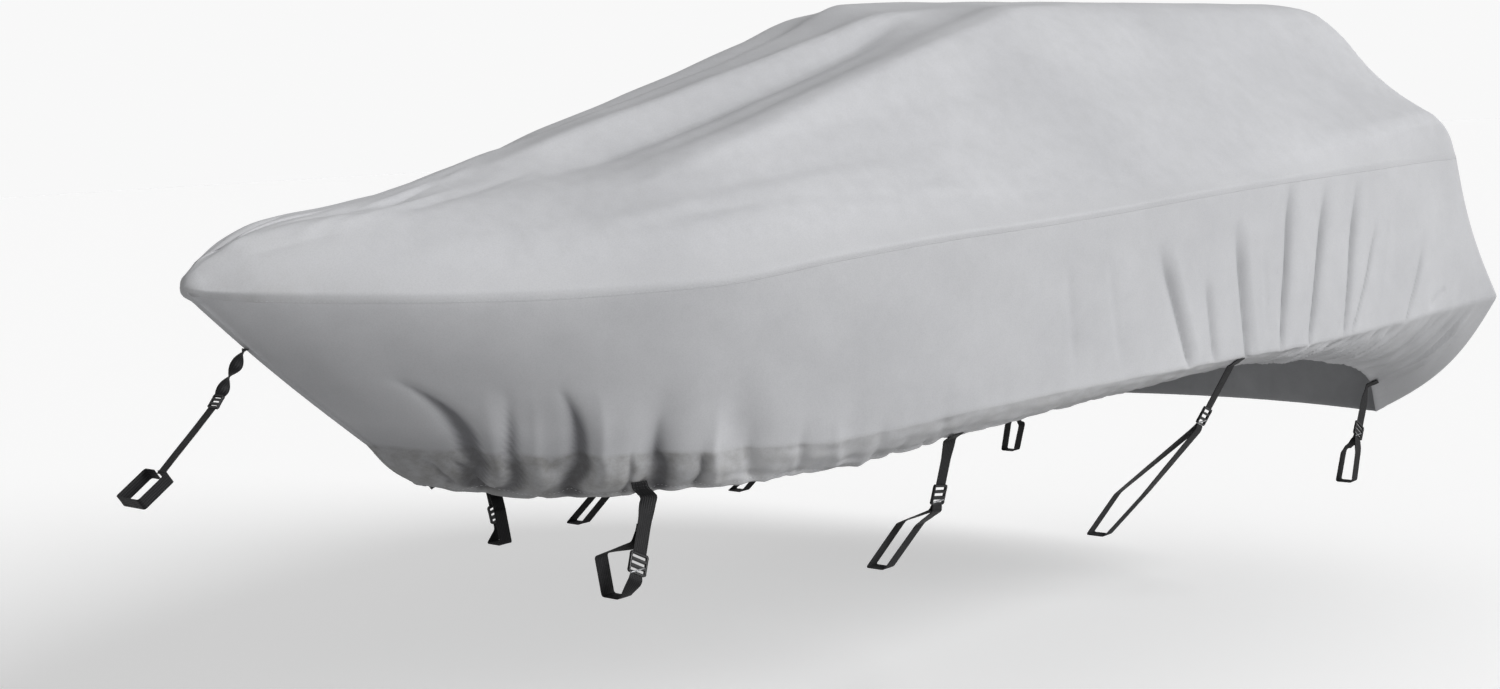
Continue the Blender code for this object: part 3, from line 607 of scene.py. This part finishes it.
# Curved folds of the fore deck: stations aft, places across at those, half width and height
DECK_CREST = (
    (0.62, 0.79, 0.95, 1.15, 1.39, 1.64, 1.88, 2.05),
    (-0.03, -0.07, -0.091, -0.112, -0.125, -0.14, -0.172, -0.205),
)
DECK_VALLEY = (
    (0.72, 0.86, 1.07, 1.28, 1.44, 1.67, 2.0),
    (-0.175, -0.185, -0.2, -0.222, -0.234, -0.236, -0.224),
)
WEDGE = (0.85, 1.15, 1.48, 1.74, 2.05, 2.5)
DECK_LINES = [
    (*DECK_CREST, 0.024, 0.007),
    (*DECK_VALLEY, 0.02, -0.008),
    (WEDGE, (-0.31, -0.372, -0.385, -0.394, -0.39, -0.356), (0.03, 0.04), 0.01),
    (WEDGE, (-0.245, -0.275, -0.3, -0.31, -0.3, -0.27), (0.026, 0.07), -0.009),
]
RAIL_STREAKS = [
    (0.8, -0.38, 1.6, -0.6, 0.022, 0.004), (0.85, -0.42, 1.5, -0.64, 0.016, -0.004),
    (0.9, -0.46, 1.75, -0.7, 0.018, 0.003), (1.0, -0.36, 2.0, -0.52, 0.024, -0.004),
    (0.8, 0.38, 1.6, 0.6, 0.022, 0.004), (0.95, 0.44, 1.7, 0.66, 0.018, -0.004),
]
TOP_STATIONS = 226
TOP_PLACES = 79  # from the middle to the gunwale
FLAP = np.array([0.012, 0.024, SEAM_EDGE - 0.0014, SEAM_EDGE])  # ways down of the top's turned edge
STITCHED = 2  # column of the seam's stitches, from the edge


def build_top_cloth():
    stations = np.linspace(0, STERN_X, 600)
    x = spread_along(hull(stations, 0.0, 1) + hull(stations, 2.0, 1), TOP_STATIONS) * STERN_X
    q = np.concatenate([3 * np.linspace(0, 1, TOP_PLACES) ** GUNWALE_BIAS, 3 + FLAP])
    place = np.concatenate([q[::-1], q[1:]])
    points = np.concatenate([hull(x[:, None], q[::-1], -1), hull(x[:, None], q[1:], 1)], axis=1)
    out = normals(points, (0, 0, 1))
    u, v = points[..., 0], points[..., 1]
    relief = folds(TOP_WRINKLES, u, v, pinch) + folds(RAIL_STREAKS, u, v) + drawn_folds(DECK_LINES, u, v)
    relief += 0.0016 * ripple(u, v, 0.35, 3) + 0.0006 * ripple(u * 0.5, v, 0.07, 4) * ease(2.4, 0.6, u)
    relief *= ease(3.0, 2.7, place) * ease(0.0, 0.1, u) * ease(3.8, 3.6, u)
    relief += seam_hollow(u, place - 3)
    points += out * relief[..., None]
    for hand, column in (("port", STITCHED), ("starboard", -1 - STITCHED)):
        sewn_line(hand + "_seam_stitches", points[6:, column], out[6:, column])
    nose = []
    for down in FLAP[::-1]:
        tip_x, _, tip_z = hull([0.0], [3 + down], 1)[0]
        y = np.clip(points[0, :, 1], -NOSE_HALF_WIDTH, NOSE_HALF_WIDTH)
        forward = NOSE_FORWARD * np.sqrt(1 - (y / NOSE_HALF_WIDTH) ** 2)
        nose.append(np.stack([tip_x - forward, y, 0 * y + tip_z], axis=1))
    across = points[-1, :, 1] / points[-1, :, 1].max()
    low = np.concatenate([FLAP[::-1], np.zeros(2 * TOP_PLACES - 1), FLAP])
    stern = [transom(np.clip(across, -1, 1), np.maximum(down, low)) for down in FLAP]
    sewn_line("stern_seam_stitches", stern[1][3:-3], np.ones((len(place) - 6, 1)) * (1, 0, 0))
    points = np.concatenate([nose, points, stern])
    edge = np.pad(1 - ease(0, 0.5, x), len(FLAP), constant_values=(1, 0.2))
    soil_and_band_shade = 0.3 * edge[:, None] + 0.15 * ease(2.2, 3.0, place)
    # Painted shade on the fore deck: past its crest, where the cloth turns from the light; a broad patch on
    # its port half; and in the troughs of its curved folds
    past_crest = ease(-0.015, 0.03, v - np.interp(u, *DECK_CREST)) * ease(0.4, 0.05, v)
    past_crest *= ease(0.5, 0.9, u) * ease(2.5, 1.8, u)
    painted_deck_shade = bell((u - 0.95) / 0.5) * bell((v + 0.22) / 0.16)
    trough = np.clip(-drawn_folds(DECK_LINES, u, v) / 0.03, 0, 1)
    shade = np.pad(trough + 0.18 * past_crest + 0.1 * painted_deck_shade, ((len(FLAP), len(FLAP)), (0, 0)))
    cloth_sheet(
        "top_cloth", points, (0, 0, 1), soil_and_band_shade, shade, "top_panel",
    )


# Fine folds of the port side: puckers over the hem of the bow, then thin pleats and gathers toward the stern
PORT_WRINKLES = [
    (0.98, 0.8, 1.02, 1.95, 0.02, 0.008), (1.06, 0.92, 1.1, 1.95, 0.013, -0.009),
    (1.17, 0.95, 1.2, 1.95, 0.013, -0.009), (1.25, 0.95, 1.29, 1.92, 0.016, 0.007),
    (1.36, 0.98, 1.38, 1.95, 0.013, -0.006), (1.52, 1.0, 1.55, 1.95, 0.014, -0.005),
    (2.245, 0.3, 2.37, 0.99, 0.018, 0.003), (2.575, 0.3, 2.64, 0.99, 0.018, 0.003),
    (3.66, 0.95, 3.75, 0.87, 0.01, -0.006),
    (2.0, 0.3, 2.06, 0.9, 0.014, -0.003), (1.86, 0.3, 1.9, 0.85, 0.014, -0.003),
    (3.4, 0.3, 3.34, 0.8, 0.014, 0.003), (2.66, 0.4, 2.69, 0.9, 0.012, -0.003),
]
# Curved puckers and pleats: shares of the way down, places aft at those, half width and height
PORT_PUCKERS = [
    ((0.52, 0.68, 0.91, 1.3, 1.9), (0.375, 0.463, 0.532, 0.58, 0.635), (0.018, 0.022), -0.023),
    ((0.58, 0.8, 1.2, 1.9), (0.56, 0.595, 0.635, 0.672), (0.02, 0.024), -0.012),
    ((0.58, 0.89, 1.3, 1.95), (0.66, 0.724, 0.75, 0.775), (0.016, 0.022), -0.022),
    ((0.8, 1.1, 1.5, 1.98), (0.87, 0.89, 0.905, 0.922), (0.014, 0.02), -0.017),
    ((0.29, 0.6, 0.99), (2.2, 2.26, 2.33), (0.022, 0.008), -0.009),
    ((0.5, 0.75, 0.99), (2.39, 2.417, 2.44), (0.018, 0.008), -0.006),
    ((0.24, 0.65, 1.12), (2.53, 2.568, 2.6), (0.02, 0.008), -0.009),
    ((0.06, 0.55, 0.99), (2.8, 2.788, 2.768), (0.02, 0.007), -0.011),
    ((0.12, 0.55, 0.99), (3.0, 2.968, 2.926), (0.02, 0.007), -0.011),
    ((0.12, 0.55, 0.99), (3.186, 3.16, 3.122), (0.018, 0.007), -0.01),
    ((0.38, 0.7, 0.98), (3.303, 3.245, 3.166), (0.01, 0.006), -0.008),
    ((0.57, 0.8, 1.0), (3.612, 3.565, 3.506), (0.014, 0.008), -0.006),
    ((0.56, 0.9, 1.3, 1.82), (0.52, 0.572, 0.61, 0.64), 0.02, 0.006),
    ((0.58, 0.9, 1.3, 1.74), (0.61, 0.655, 0.685, 0.708), 0.02, 0.006),
    ((0.6, 0.95, 1.35, 1.8), (0.73, 0.77, 0.792, 0.812), 0.024, 0.009),
    ((1.05, 1.4, 1.8), (0.47, 0.525, 0.573), 0.01, -0.008),
    ((1.1, 1.45, 1.86), (0.525, 0.575, 0.619), 0.009, -0.008),
    ((1.05, 1.35, 1.74), (0.6, 0.64, 0.669), 0.01, -0.007),
    ((0.95, 1.4, 1.95), (0.83, 0.845, 0.855), 0.012, -0.008),
    ((1.0, 1.4, 1.95), (0.965, 0.975, 0.985), 0.011, -0.009),
]
STARBOARD_WRINKLES = [
    (0.42, 0.6, 0.62, 1.8, 0.014, -0.008), (0.6, 0.6, 0.72, 1.75, 0.014, -0.009),
    (0.78, 0.66, 0.86, 1.85, 0.014, -0.009), (0.69, 0.62, 0.79, 1.75, 0.02, 0.008),
    (1.05, 0.8, 1.08, 1.9, 0.014, -0.008), (1.2, 0.9, 1.24, 1.95, 0.012, -0.007),
    (2.28, 0.28, 2.38, 0.99, 0.01, -0.006), (2.58, 0.22, 2.62, 1.0, 0.01, -0.007),
    (2.86, 0.1, 2.82, 0.99, 0.01, -0.008), (3.08, 0.12, 3.0, 0.99, 0.01, -0.008),
    (3.26, 0.16, 3.18, 0.99, 0.01, -0.007), (3.5, 0.4, 3.42, 1.0, 0.01, -0.006),
    (0.44, 0.08, 0.8, 0.26, 0.016, 0.003),
]
SIDE_STATIONS = 420


def hem_gathers(x, down, seed):
    """Small uneven gathers that the hem cord draws up, deepest at the hem."""
    waves = np.random.default_rng(seed)
    total = 0
    marks = np.cumsum(waves.uniform(0.03, 0.085, 70)) + 0.4
    for mark in marks[marks < 4.0]:
        lean = waves.uniform(-0.05, 0.05)
        reach = waves.uniform(0.9, 1.5)
        half = waves.uniform(0.007, 0.016)
        depth = waves.uniform(0.002, 0.0065) * waves.choice([-1, -1, 1]) * (1 - 0.5 * ease(1.3, 2.0, mark))
        total += depth * bell((x - mark - lean * (2 - down)) / half) * ease(reach, 1.9, down)
    return total


def stern_gathers(x, down, seed):
    """A fan of fine diagonal gathers under the stern corner, from the lower crease to the hem."""
    waves = np.random.default_rng(seed)
    total = 0
    for start in np.arange(2.86, 4.02, 0.05):
        start += waves.uniform(-0.012, 0.012)
        slant = -0.16 + waves.uniform(-0.05, 0.05)
        half = waves.uniform(0.008, 0.013)
        depth = waves.uniform(0.006, 0.0115) * waves.choice([-1, -1, 1])
        total += depth * bell((x - start - slant * (down - 1)) / half)
    return total * ease(1.0, 1.25, down) * ease(2.1, 1.7, down)


def build_side_cloth(side):
    """One side of the cover, and the face that its straps are sewn to."""
    port = side < 0
    hand = "port" if port else "starboard"
    stations = np.linspace(0, STERN_X, 800)
    line = hull(stations, 4.0, 1)
    line[:, 0] += 0.4 * ease(0.4, 0.95, stations)  # closer columns where the bow puckers
    x = spread_along(line, SIDE_STATIONS) * STERN_X
    down = wall_rows(46, 42)
    points = hull(x, 3 + down[:, None], side)
    out = normals(points, (0, side, 0))
    u = points[..., 0]
    d = down[:, None] * np.ones_like(u)
    crease = drawn_folds(PORT_PUCKERS, d, u + (0 if port else 0.02 * np.sin(9 * u)))
    relief = wall_folds(PORT_WRINKLES if port else STARBOARD_WRINKLES, u, d, pinch) + crease
    relief += 0.0015 * ripple(u, d * WALL_HEIGHT, 0.22, 11 + port) * ease(0.06, 0.3, d)
    relief += 0.0007 * ripple(u, d * WALL_HEIGHT * 0.35, 0.05, 15 + port) * ease(0.6, 1.1, d)
    relief += hem_gathers(u, d, 21 + port) + stern_gathers(u, d, 31 + port)
    relief *= ease(0.0, 0.12, x) * ease(STERN_X, STERN_X - 0.1, x) * ease(0.02, 0.08, d)
    points += out * (relief + hem_roll(d) + seam_lap(u, d))[..., None]
    least = NOSE_HALF_WIDTH - NOSE_STEP * (x < 0.02)
    points[..., 1] = side * np.maximum(points[..., 1] * side, least)
    hem_row = np.abs(down - HEM_STITCHES).argmin()
    sewn_line(hand + "_hem_stitches", points[hem_row, 6:], out[hem_row, 6:])
    nose = []
    for turn in np.linspace(0, np.pi / 2, 5)[:-1]:
        column = points[:, 0].copy()
        column[:, 1] = side * max(abs(column[0, 1]) * np.sin(turn), SEAM_GAP / 2)
        column[:, 0] -= NOSE_FORWARD * np.cos(turn)
        nose.append(column)
    half = np.abs(points[:, -1, 1])
    wrap = [transom(side * (1 - reach / half), down) for reach in np.linspace(0, CORNER_WRAP, 6)[1:]]
    points = np.concatenate([np.stack(nose, 1), points, np.stack(wrap, 1)], axis=1)
    aft = points[..., 0]
    # Darker on the band under the lower crease, most toward the bow: partly soiling, partly painted shade
    depth = 1.0 - 0.6 * ease(0.8, 1.2, aft) - 0.25 * ease(2.3, 3.3, aft)
    soil_and_band_shade = np.clip(0.08 + depth * turned_under(down)[:, None], 0, 1)
    # Painted shade in the puckers' troughs, and over the lower wall near the bow
    trough = np.clip(-crease / (0.01 + 0.006 * ease(0.9, 1.4, u)), 0, 1)
    shade = np.pad(trough, ((0, 0), (len(nose), len(wrap))))
    under_bow = 0.28 * ease(0.0, 0.5, down) + 0.24 * ease(0.8, 1.02, down)
    shade = np.maximum(shade, under_bow[:, None] * ease(0.98, 0.52, aft))
    cloth_sheet(
        "side_cloth_" + hand, points, (0, side, 0), soil_and_band_shade, shade, "side_panel_" + hand,
    )
    corners = np.arange(aft.size).reshape(aft.shape)
    quads = np.stack([corners[:-1, :-1], corners[:-1, 1:], corners[1:, 1:], corners[1:, :-1]], axis=-1)
    return BVHTree.FromPolygons(points.reshape(-1, 3).tolist(), quads.reshape(-1, 4).tolist())


def build_transom_cloth():
    down = wall_rows(32, 30)
    half = hull(STERN_X, 3 + down, 1)[:, 1, None]
    share = np.linspace(-1, 1, 141) * (1 - (CORNER_WRAP - 0.01) / half)
    points = transom(share, down[:, None])
    out = normals(points, (1, 0, 0))
    v, d = points[..., 1], down[:, None] * np.ones_like(share)
    relief = 0.0015 * ripple(v, d * WALL_HEIGHT, 0.2, 41) + hem_gathers(v + 2.2, d, 42)
    relief *= ease(0.02, 0.1, d) * (1 - share ** 6)
    inner, outer = (1 - (CORNER_WRAP + lap) / half for lap in (0.006, 0.001))
    seam = -0.0016 * ease(inner, outer, np.abs(share))
    points += out * (relief + np.minimum(seam_lap(STERN_X, d), seam) + hem_roll(d))[..., None]
    hem_row = np.abs(down - HEM_STITCHES).argmin()
    sewn_line("stern_hem_stitches", points[hem_row, 2:-2], out[hem_row, 2:-2])
    # Darker on the band under the lower crease: partly soiling, partly painted shade
    soil_and_band_shade = 0.08 + 0.2 * turned_under(d)
    cloth_sheet(
        "transom_cloth", points, (1, 0, 0), soil_and_band_shade, 0 * soil_and_band_shade, "transom_panel",
    )


# Webbing and buckles
def rows_of(vectors):
    return np.array(list(map(tuple, vectors)))


def smooth_path(path, widths, step):
    """Points and width directions at an even pitch on a smooth curve through the path."""
    path, widths = rows_of(path), rows_of(Vector(wide).normalized() for wide in widths)
    runs = run_lengths(path)
    places = np.linspace(0, runs[-1], max(3, int(runs[-1] / step) + 1))
    points = smooth_curve(runs, path, np.gradient(path, runs, axis=0), places)
    wides = between(runs, widths, places)
    return points, wides / np.linalg.norm(wides, axis=1, keepdims=True)


def webbing(name, path, widths, node, width=WEBBING_WIDTH):
    """Flat woven webbing with soft selvedges along a path."""
    path, widths = rows_of(path), rows_of(widths)
    across = np.linspace(-0.5, 0.5, 9)
    points = path[:, None] + widths[:, None] * across[:, None] * width
    face = np.cross(np.gradient(path, axis=0), widths)
    face /= np.linalg.norm(face, axis=1, keepdims=True)
    points += face[:, None] * 0.0003 * np.cos(np.pi * across)[:, None]
    measures = np.stack(np.broadcast_arrays(run_lengths(path)[:, None], across * width), axis=-1)
    made = finish_piece(name, woven_grid(points, face[0], measures), BLACK_WEBBING)
    add_modifier(made, "webbing thickness", "SOLIDIFY", thickness=WEBBING, offset=0)
    add_modifier(made, "soft selvedge", "BEVEL", width=0.0005, segments=2, limit_method="ANGLE")
    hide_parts(node)


def ladder_buckle(
    name, centre, down, wide, node, width=BUCKLE_WIDTH, length=BUCKLE_LENGTH, thick=BUCKLE_THICK,
):
    """A moulded ladder buckle: a rounded frame with slots between its bars."""
    wide = (wide - down * wide.dot(down)).normalized()
    rails = [-0.5, -0.41, 0.41, 0.5]
    bars = [-0.5, -0.38, -0.22, -0.08, 0.08, 0.24, 0.4, 0.5]
    open_at = (-0.3, 0.0, 0.32)  # middles of the slots
    bm, places = plain_grid(len(bars), len(rails))
    for vert, i, j in places:
        vert.co = (rails[j] * width, bars[i] * length, -thick / 2)
    middles = [(face, face.calc_center_median()) for face in bm.faces]
    slots = [face for face, at in middles if abs(at.x) < width / 4 and round(at.y / length, 2) in open_at]
    bmesh.ops.delete(bm, geom=slots, context="FACES")
    body = bmesh.ops.extrude_face_region(bm, geom=list(bm.faces))
    moved = [item for item in body["geom"] if isinstance(item, bmesh.types.BMVert)]
    bmesh.ops.translate(bm, verts=moved, vec=(0, 0, thick))
    bmesh.ops.recalc_face_normals(bm, faces=bm.faces)
    corners = [
        edge for edge in bm.edges
        if abs(edge.verts[0].co.z - edge.verts[1].co.z) > thick / 2
        and abs(edge.verts[0].co.x) > width * 0.49 and abs(edge.verts[0].co.y) > length * 0.49
    ]
    round_edges(bm, corners, 0.006, 4)
    sharp = [edge for edge in bm.edges if edge.is_manifold and edge.calc_face_angle(0) > 0.6]
    round_edges(bm, sharp, 0.0009, 2)
    bmesh.ops.transform(bm, matrix=set_on(wide, down, wide.cross(down), centre), verts=bm.verts)
    made = finish_piece(name, bm, BUCKLE_PLASTIC)
    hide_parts(node)


def metal_bar(name, centre, wide, down, length, radius):
    """A plated wire bar that lies across a buckle."""
    bm = bmesh.new()
    bmesh.ops.create_cone(bm, cap_ends=True, segments=12, radius1=radius, radius2=radius, depth=length)
    ends = [edge for edge in bm.edges if abs(edge.verts[0].co.z - edge.verts[1].co.z) < 1e-6]
    round_edges(bm, ends, radius * 0.5, 3)
    bmesh.ops.transform(bm, matrix=set_on(down, wide.cross(down).normalized(), wide, centre), verts=bm.verts)
    bmesh.ops.recalc_face_normals(bm, faces=bm.faces)
    finish_piece(name, bm, BAR_METAL)


def strap_seat(x, down, side, cloth):
    """Where the middle of a strap lies on the cloth, with the directions aft, down and out there."""
    across = [Vector(p) for p in hull(x + WEBBING_WIDTH * PROBES_ACROSS, 3 + down, side)]
    low = min(down + SLOPE_SHARE, 2)
    middle, foot, head = (Vector(p) for p in hull(x, 3 + np.array([down, low, low - SLOPE_SHARE]), side))
    aft = (across[-1] - across[0]).normalized()
    below = (foot - head).normalized()
    out = aft.cross(below).normalized()
    if out.y * side < 0:
        out.negate()
    lift = -PROBE
    for nearby in PROBES_DOWN:
        for point in across:
            hit = cloth.ray_cast(point + out * PROBE + below * nearby, -out, 2 * PROBE)[0]
            if hit:
                lift = max(lift, (hit - middle).dot(out))
    return middle + out * (lift + SEWN + WEBBING / 2), aft, below, out


def build_strap(label, side, sizes, cloth):
    """Upper webbing sewn to the hem band, a ladder buckle, and the lower webbing round the trailer rail."""
    seat_x, seat_down, buckle_x, buckle_y, buckle_z = sizes[:5]
    front_x, under_x, back_x, rail_y, fork_share, leaves_down = sizes[5:]
    hand = "port" if side < 0 else "starboard"
    name, piece = f"{hand}_strap_{label}", f"{hand}_%s_{label}"
    wide = Vector((1, 0, 0))
    downs = np.linspace(seat_down, leaves_down, 15)
    seats = [strap_seat(seat_x, down, side, cloth) for down in downs]
    last, aft, below, _ = seats[-1]
    hem = last + below * HEM_OVERHANG
    centre = Vector((buckle_x, side * buckle_y, buckle_z))
    down = (centre - hem).normalized()
    reach = BUCKLE_LENGTH / 2 + SEAM_GAP
    inward = wide.cross(down)
    inward *= -side * (1 if inward.y > 0 else -1)
    flat = down.cross(inward) * -side
    end = centre - down * reach * 0.72
    shares = np.linspace(0, 1, 9)
    upper = [seat[0] for seat in seats] + [hem.lerp(end, share) for share in shares]
    wides = [seat[1] for seat in seats] + [aft.lerp(flat, min(1, share / TURN_SHARE)) for share in shares]
    webbing(piece % "upper_webbing", *smooth_path(upper, wides, 0.006), name + "_upper")
    ladder_buckle(piece % "ladder_buckle", centre, down, wide, name + "_buckle")
    bar = centre + down * BUCKLE_LENGTH * 0.32 - inward * BUCKLE_THICK * 0.35
    metal_bar(piece % "buckle_bar", bar, wide, down, BUCKLE_WIDTH * 0.8, 0.0021)

    def on_rail(x, y, drop=0):
        return Vector((x, side * y, RAIL_TOP_AT_BOW + RAIL_SLOPE * x - drop))

    def leg(aside, top):
        start = below_buckle + aside * LEG_ASIDE + lead
        turning = flat.lerp(wide, 0.5)
        return [(below_buckle + aside * LAYER / 2, flat), (start, flat), (start.lerp(top, 0.5), turning)]

    outer = rail_y + WEBBING / 2
    inner = rail_y - RAIL_WIDE - WEBBING / 2
    under = RAIL_HIGH + WEBBING / 2
    front_top, back_top = on_rail(front_x, outer), on_rail(back_x, inner)
    front_low, back_low = on_rail(under_x, outer, under), on_rail(under_x, inner, under)
    below_buckle = centre + down * reach
    lead = down * STRAP_LEAD
    if fork_share < 1:
        sewn = hem.lerp(end, fork_share) + inward * 2 * WEBBING
        front = [(below_buckle, flat), (below_buckle + lead, flat)]
        back = [(sewn + inward * 2 * LEG_ASIDE + lead * 3, flat), (sewn + lead, flat), (sewn, flat)]
    else:
        front, back = leg(-inward, front_top), leg(inward, back_top)[::-1]
    if centre.z > front_top.z:
        front.append((front_top, wide))
    rail = [(point, wide) for point in (front_low, back_low, back_top)]
    webbing(piece % "lower_webbing", *soft_corners(*zip(*front, *rail, *back)), name + "_lower")
    raised = WEBBING / 2 + 0.0002
    box = []
    for point, aft, _, out in seats[1:11:3]:
        box += [(point + aft * aside + out * raised, aft, out) for aside in np.linspace(-0.014, 0.014, 5)]
    for edge in (-0.0155, 0.0155):
        box += [(point + aft * edge + out * raised, below, out) for point, aft, below, out in seats[1:11]]
    stitches(piece % "strap_stitches", *zip(*box), BLACK_THREAD)


def soft_corners(route, turns, radius=0.007, step=0.01):
    """The route with its corners rounded, and the webbing's width direction carried along it."""
    points, wides = [route[0]], [turns[0]]
    for before, here, after, turn in zip(route, route[1:], route[2:], turns[1:]):
        back = min(radius, (here - before).length * 0.4)
        ahead = min(radius, (after - here).length * 0.4)
        start = here + (before - here).normalized() * back
        end = here + (after - here).normalized() * ahead
        for t in np.linspace(0, 1, 5):
            points.append(start.lerp(here, t).lerp(here.lerp(end, t), t))
            wides.append(turn)
    points.append(route[-1])
    wides.append(turns[-1])
    out_points, out_wides = [points[0]], [wides[0]]
    for a, b, wide_a, wide_b in zip(points, points[1:], wides, wides[1:]):
        count = max(1, int((b - a).length / step))
        for t in np.linspace(0, 1, count + 1)[1:]:
            out_points.append(a.lerp(b, t))
            out_wides.append(wide_a.lerp(wide_b, t).normalized())
    return out_points, out_wides


# Bow strap
BOW_SEAT_SHARE = 0.36  # place of its seat, as a share of the way down the stem
STEM_OUT = Vector((-0.67, 0, -0.74))
BOW_BUCKLE = Vector((0.058, 0, -0.232))
BOW_REACH = 0.0156  # from the buckle's middle to just past its end
BOW_WIDTH = 0.025
POST_CENTRE = Vector((-0.113, 0, -0.375))
POST_AXIS = Vector((-0.54, 0, 0.842))
POST_AFT = Vector((0.842, 0, 0.54))
POST_HALF = 0.0375
BAND_END = 0.006  # from the middle of the post to each end of the band


def build_bow_strap():
    """A strap twisted once from the stem to its buckle, and on to a band round the winch post."""
    across = Vector((0, 1, 0))
    stem = Vector(hull([0.0], [3 + BOW_SEAT_SHARE], 1)[0])
    seat = Vector((stem.x - NOSE_FORWARD, 0, stem.z)) + STEM_OUT * 0.0008
    down = (BOW_BUCKLE - seat).normalized()
    lead = down * BOW_REACH * 0.6
    shares = np.linspace(0, 1, 41)
    twist = [Matrix.Rotation(2 * np.pi * share, 3, down) @ across for share in shares]
    upper = smooth_path([seat.lerp(BOW_BUCKLE - lead, share) for share in shares], twist, 0.004)
    webbing("bow_upper_webbing", *upper, "bow_strap_upper", BOW_WIDTH)
    ladder_buckle("bow_ladder_buckle", BOW_BUCKLE, down, across, "bow_strap_buckle", 0.033, 0.03, 0.006)
    landing = POST_CENTRE + POST_AFT * (POST_HALF + 0.0044)
    start = BOW_BUCKLE + lead
    route = [start, start.lerp(landing, 0.35) + Vector((0, 0.002, -0.002)), start.lerp(landing, 0.7), landing]
    webbing("bow_lower_webbing", *smooth_path(route, [across] * 4, 0.006), "bow_strap_lower", BOW_WIDTH)
    out = POST_HALF + 0.0018
    corners = [(1, -BAND_END), (1, -out), (-1, -out), (-1, out), (1, out), (1, BAND_END)]
    band = [POST_CENTRE + POST_AFT * facing * out + across * y for facing, y in corners]
    webbing("bow_post_band", *soft_corners(band, [POST_AXIS] * 6, 0.006, 0.006), "bow_strap_band", BOW_WIDTH)


# Studio
CAMERA_AT = (-5.0098, -3.3912, -0.247)
CAMERA_AXES = ((0.66707, -0.74314, -0.0525), (0.12434, 0.04157, 0.99137), (-0.73455, -0.66784, 0.12013))
FLOOR_Z = -1.89
KEY_FROM = (0.27, -0.845, 0.46)
KEY = 2.46
FILL_ABOVE = 0.44
FILL_BELOW = 0.47
BACKDROP_GLOW = 0.94


def studio_piece(name, bm, colour, glow):
    """A floor or backdrop that throws no light back on the cover."""
    mesh = bpy.data.meshes.new(name)
    bm.to_mesh(mesh)
    bm.free()
    piece = put_in_scene(name, mesh)
    light = {"Specular_IOR_Level": 0.0, "Emission_Color": (1, 1, 1, 1), "Emission_Strength": glow}
    mesh.materials.append(material("pale_" + name, colour, 1.0, **light)[0])
    piece.visible_diffuse = piece.visible_glossy = False
    piece.visible_shadow = name == "floor"


def build_studio():
    scene = bpy.context.scene
    camera = bpy.data.cameras.new("camera")
    camera.lens, camera.sensor_width, camera.clip_end = 48, 36, 200
    scene.camera = put_in_scene("camera", camera)
    scene.camera.matrix_world = set_on(*CAMERA_AXES, CAMERA_AT)
    bm = bmesh.new()
    bmesh.ops.create_grid(bm, x_segments=4, y_segments=4, size=60)
    bmesh.ops.translate(bm, verts=bm.verts, vec=(0, 0, FLOOR_Z))
    studio_piece("floor", bm, (0.85, 0.85, 0.85), 0.26)
    bm = bmesh.new()
    bmesh.ops.create_uvsphere(bm, u_segments=48, v_segments=24, radius=58)
    bmesh.ops.reverse_faces(bm, faces=bm.faces)
    studio_piece("backdrop", bm, (0, 0, 0), BACKDROP_GLOW)
    world = bpy.data.worlds.new("studio")
    world.use_nodes = True
    tree = world.node_tree
    parts = add_node(tree, "SeparateXYZ", {"Vector": add_node(tree, "TexCoord").outputs["Generated"]})
    height = math_node(tree, "MULTIPLY_ADD", parts.outputs["Z"], 0.5, 0.5)
    soft = ramp(tree, height, (0.3, FILL_BELOW), (0.75, FILL_ABOVE))
    tree.links.new(soft, tree.nodes["Background"].inputs["Color"])
    scene.world = world
    sun = bpy.data.lights.new("key", "SUN")
    sun.angle, sun.energy = np.radians(24), KEY
    put_in_scene("key", sun).rotation_euler = Vector(KEY_FROM).to_track_quat("Z", "Y").to_euler()
    scene.view_settings.view_transform = "Standard"


build_studio()
build_top_cloth()
port_cloth = build_side_cloth(-1)
starboard_cloth = build_side_cloth(1)
build_transom_cloth()
for label, sizes in STRAPS.items():
    build_strap(label, -1, sizes, port_cloth)
    build_strap(label, 1, STARBOARD_STRAP_1 if label == "1" else sizes, starboard_cloth)
build_bow_strap()
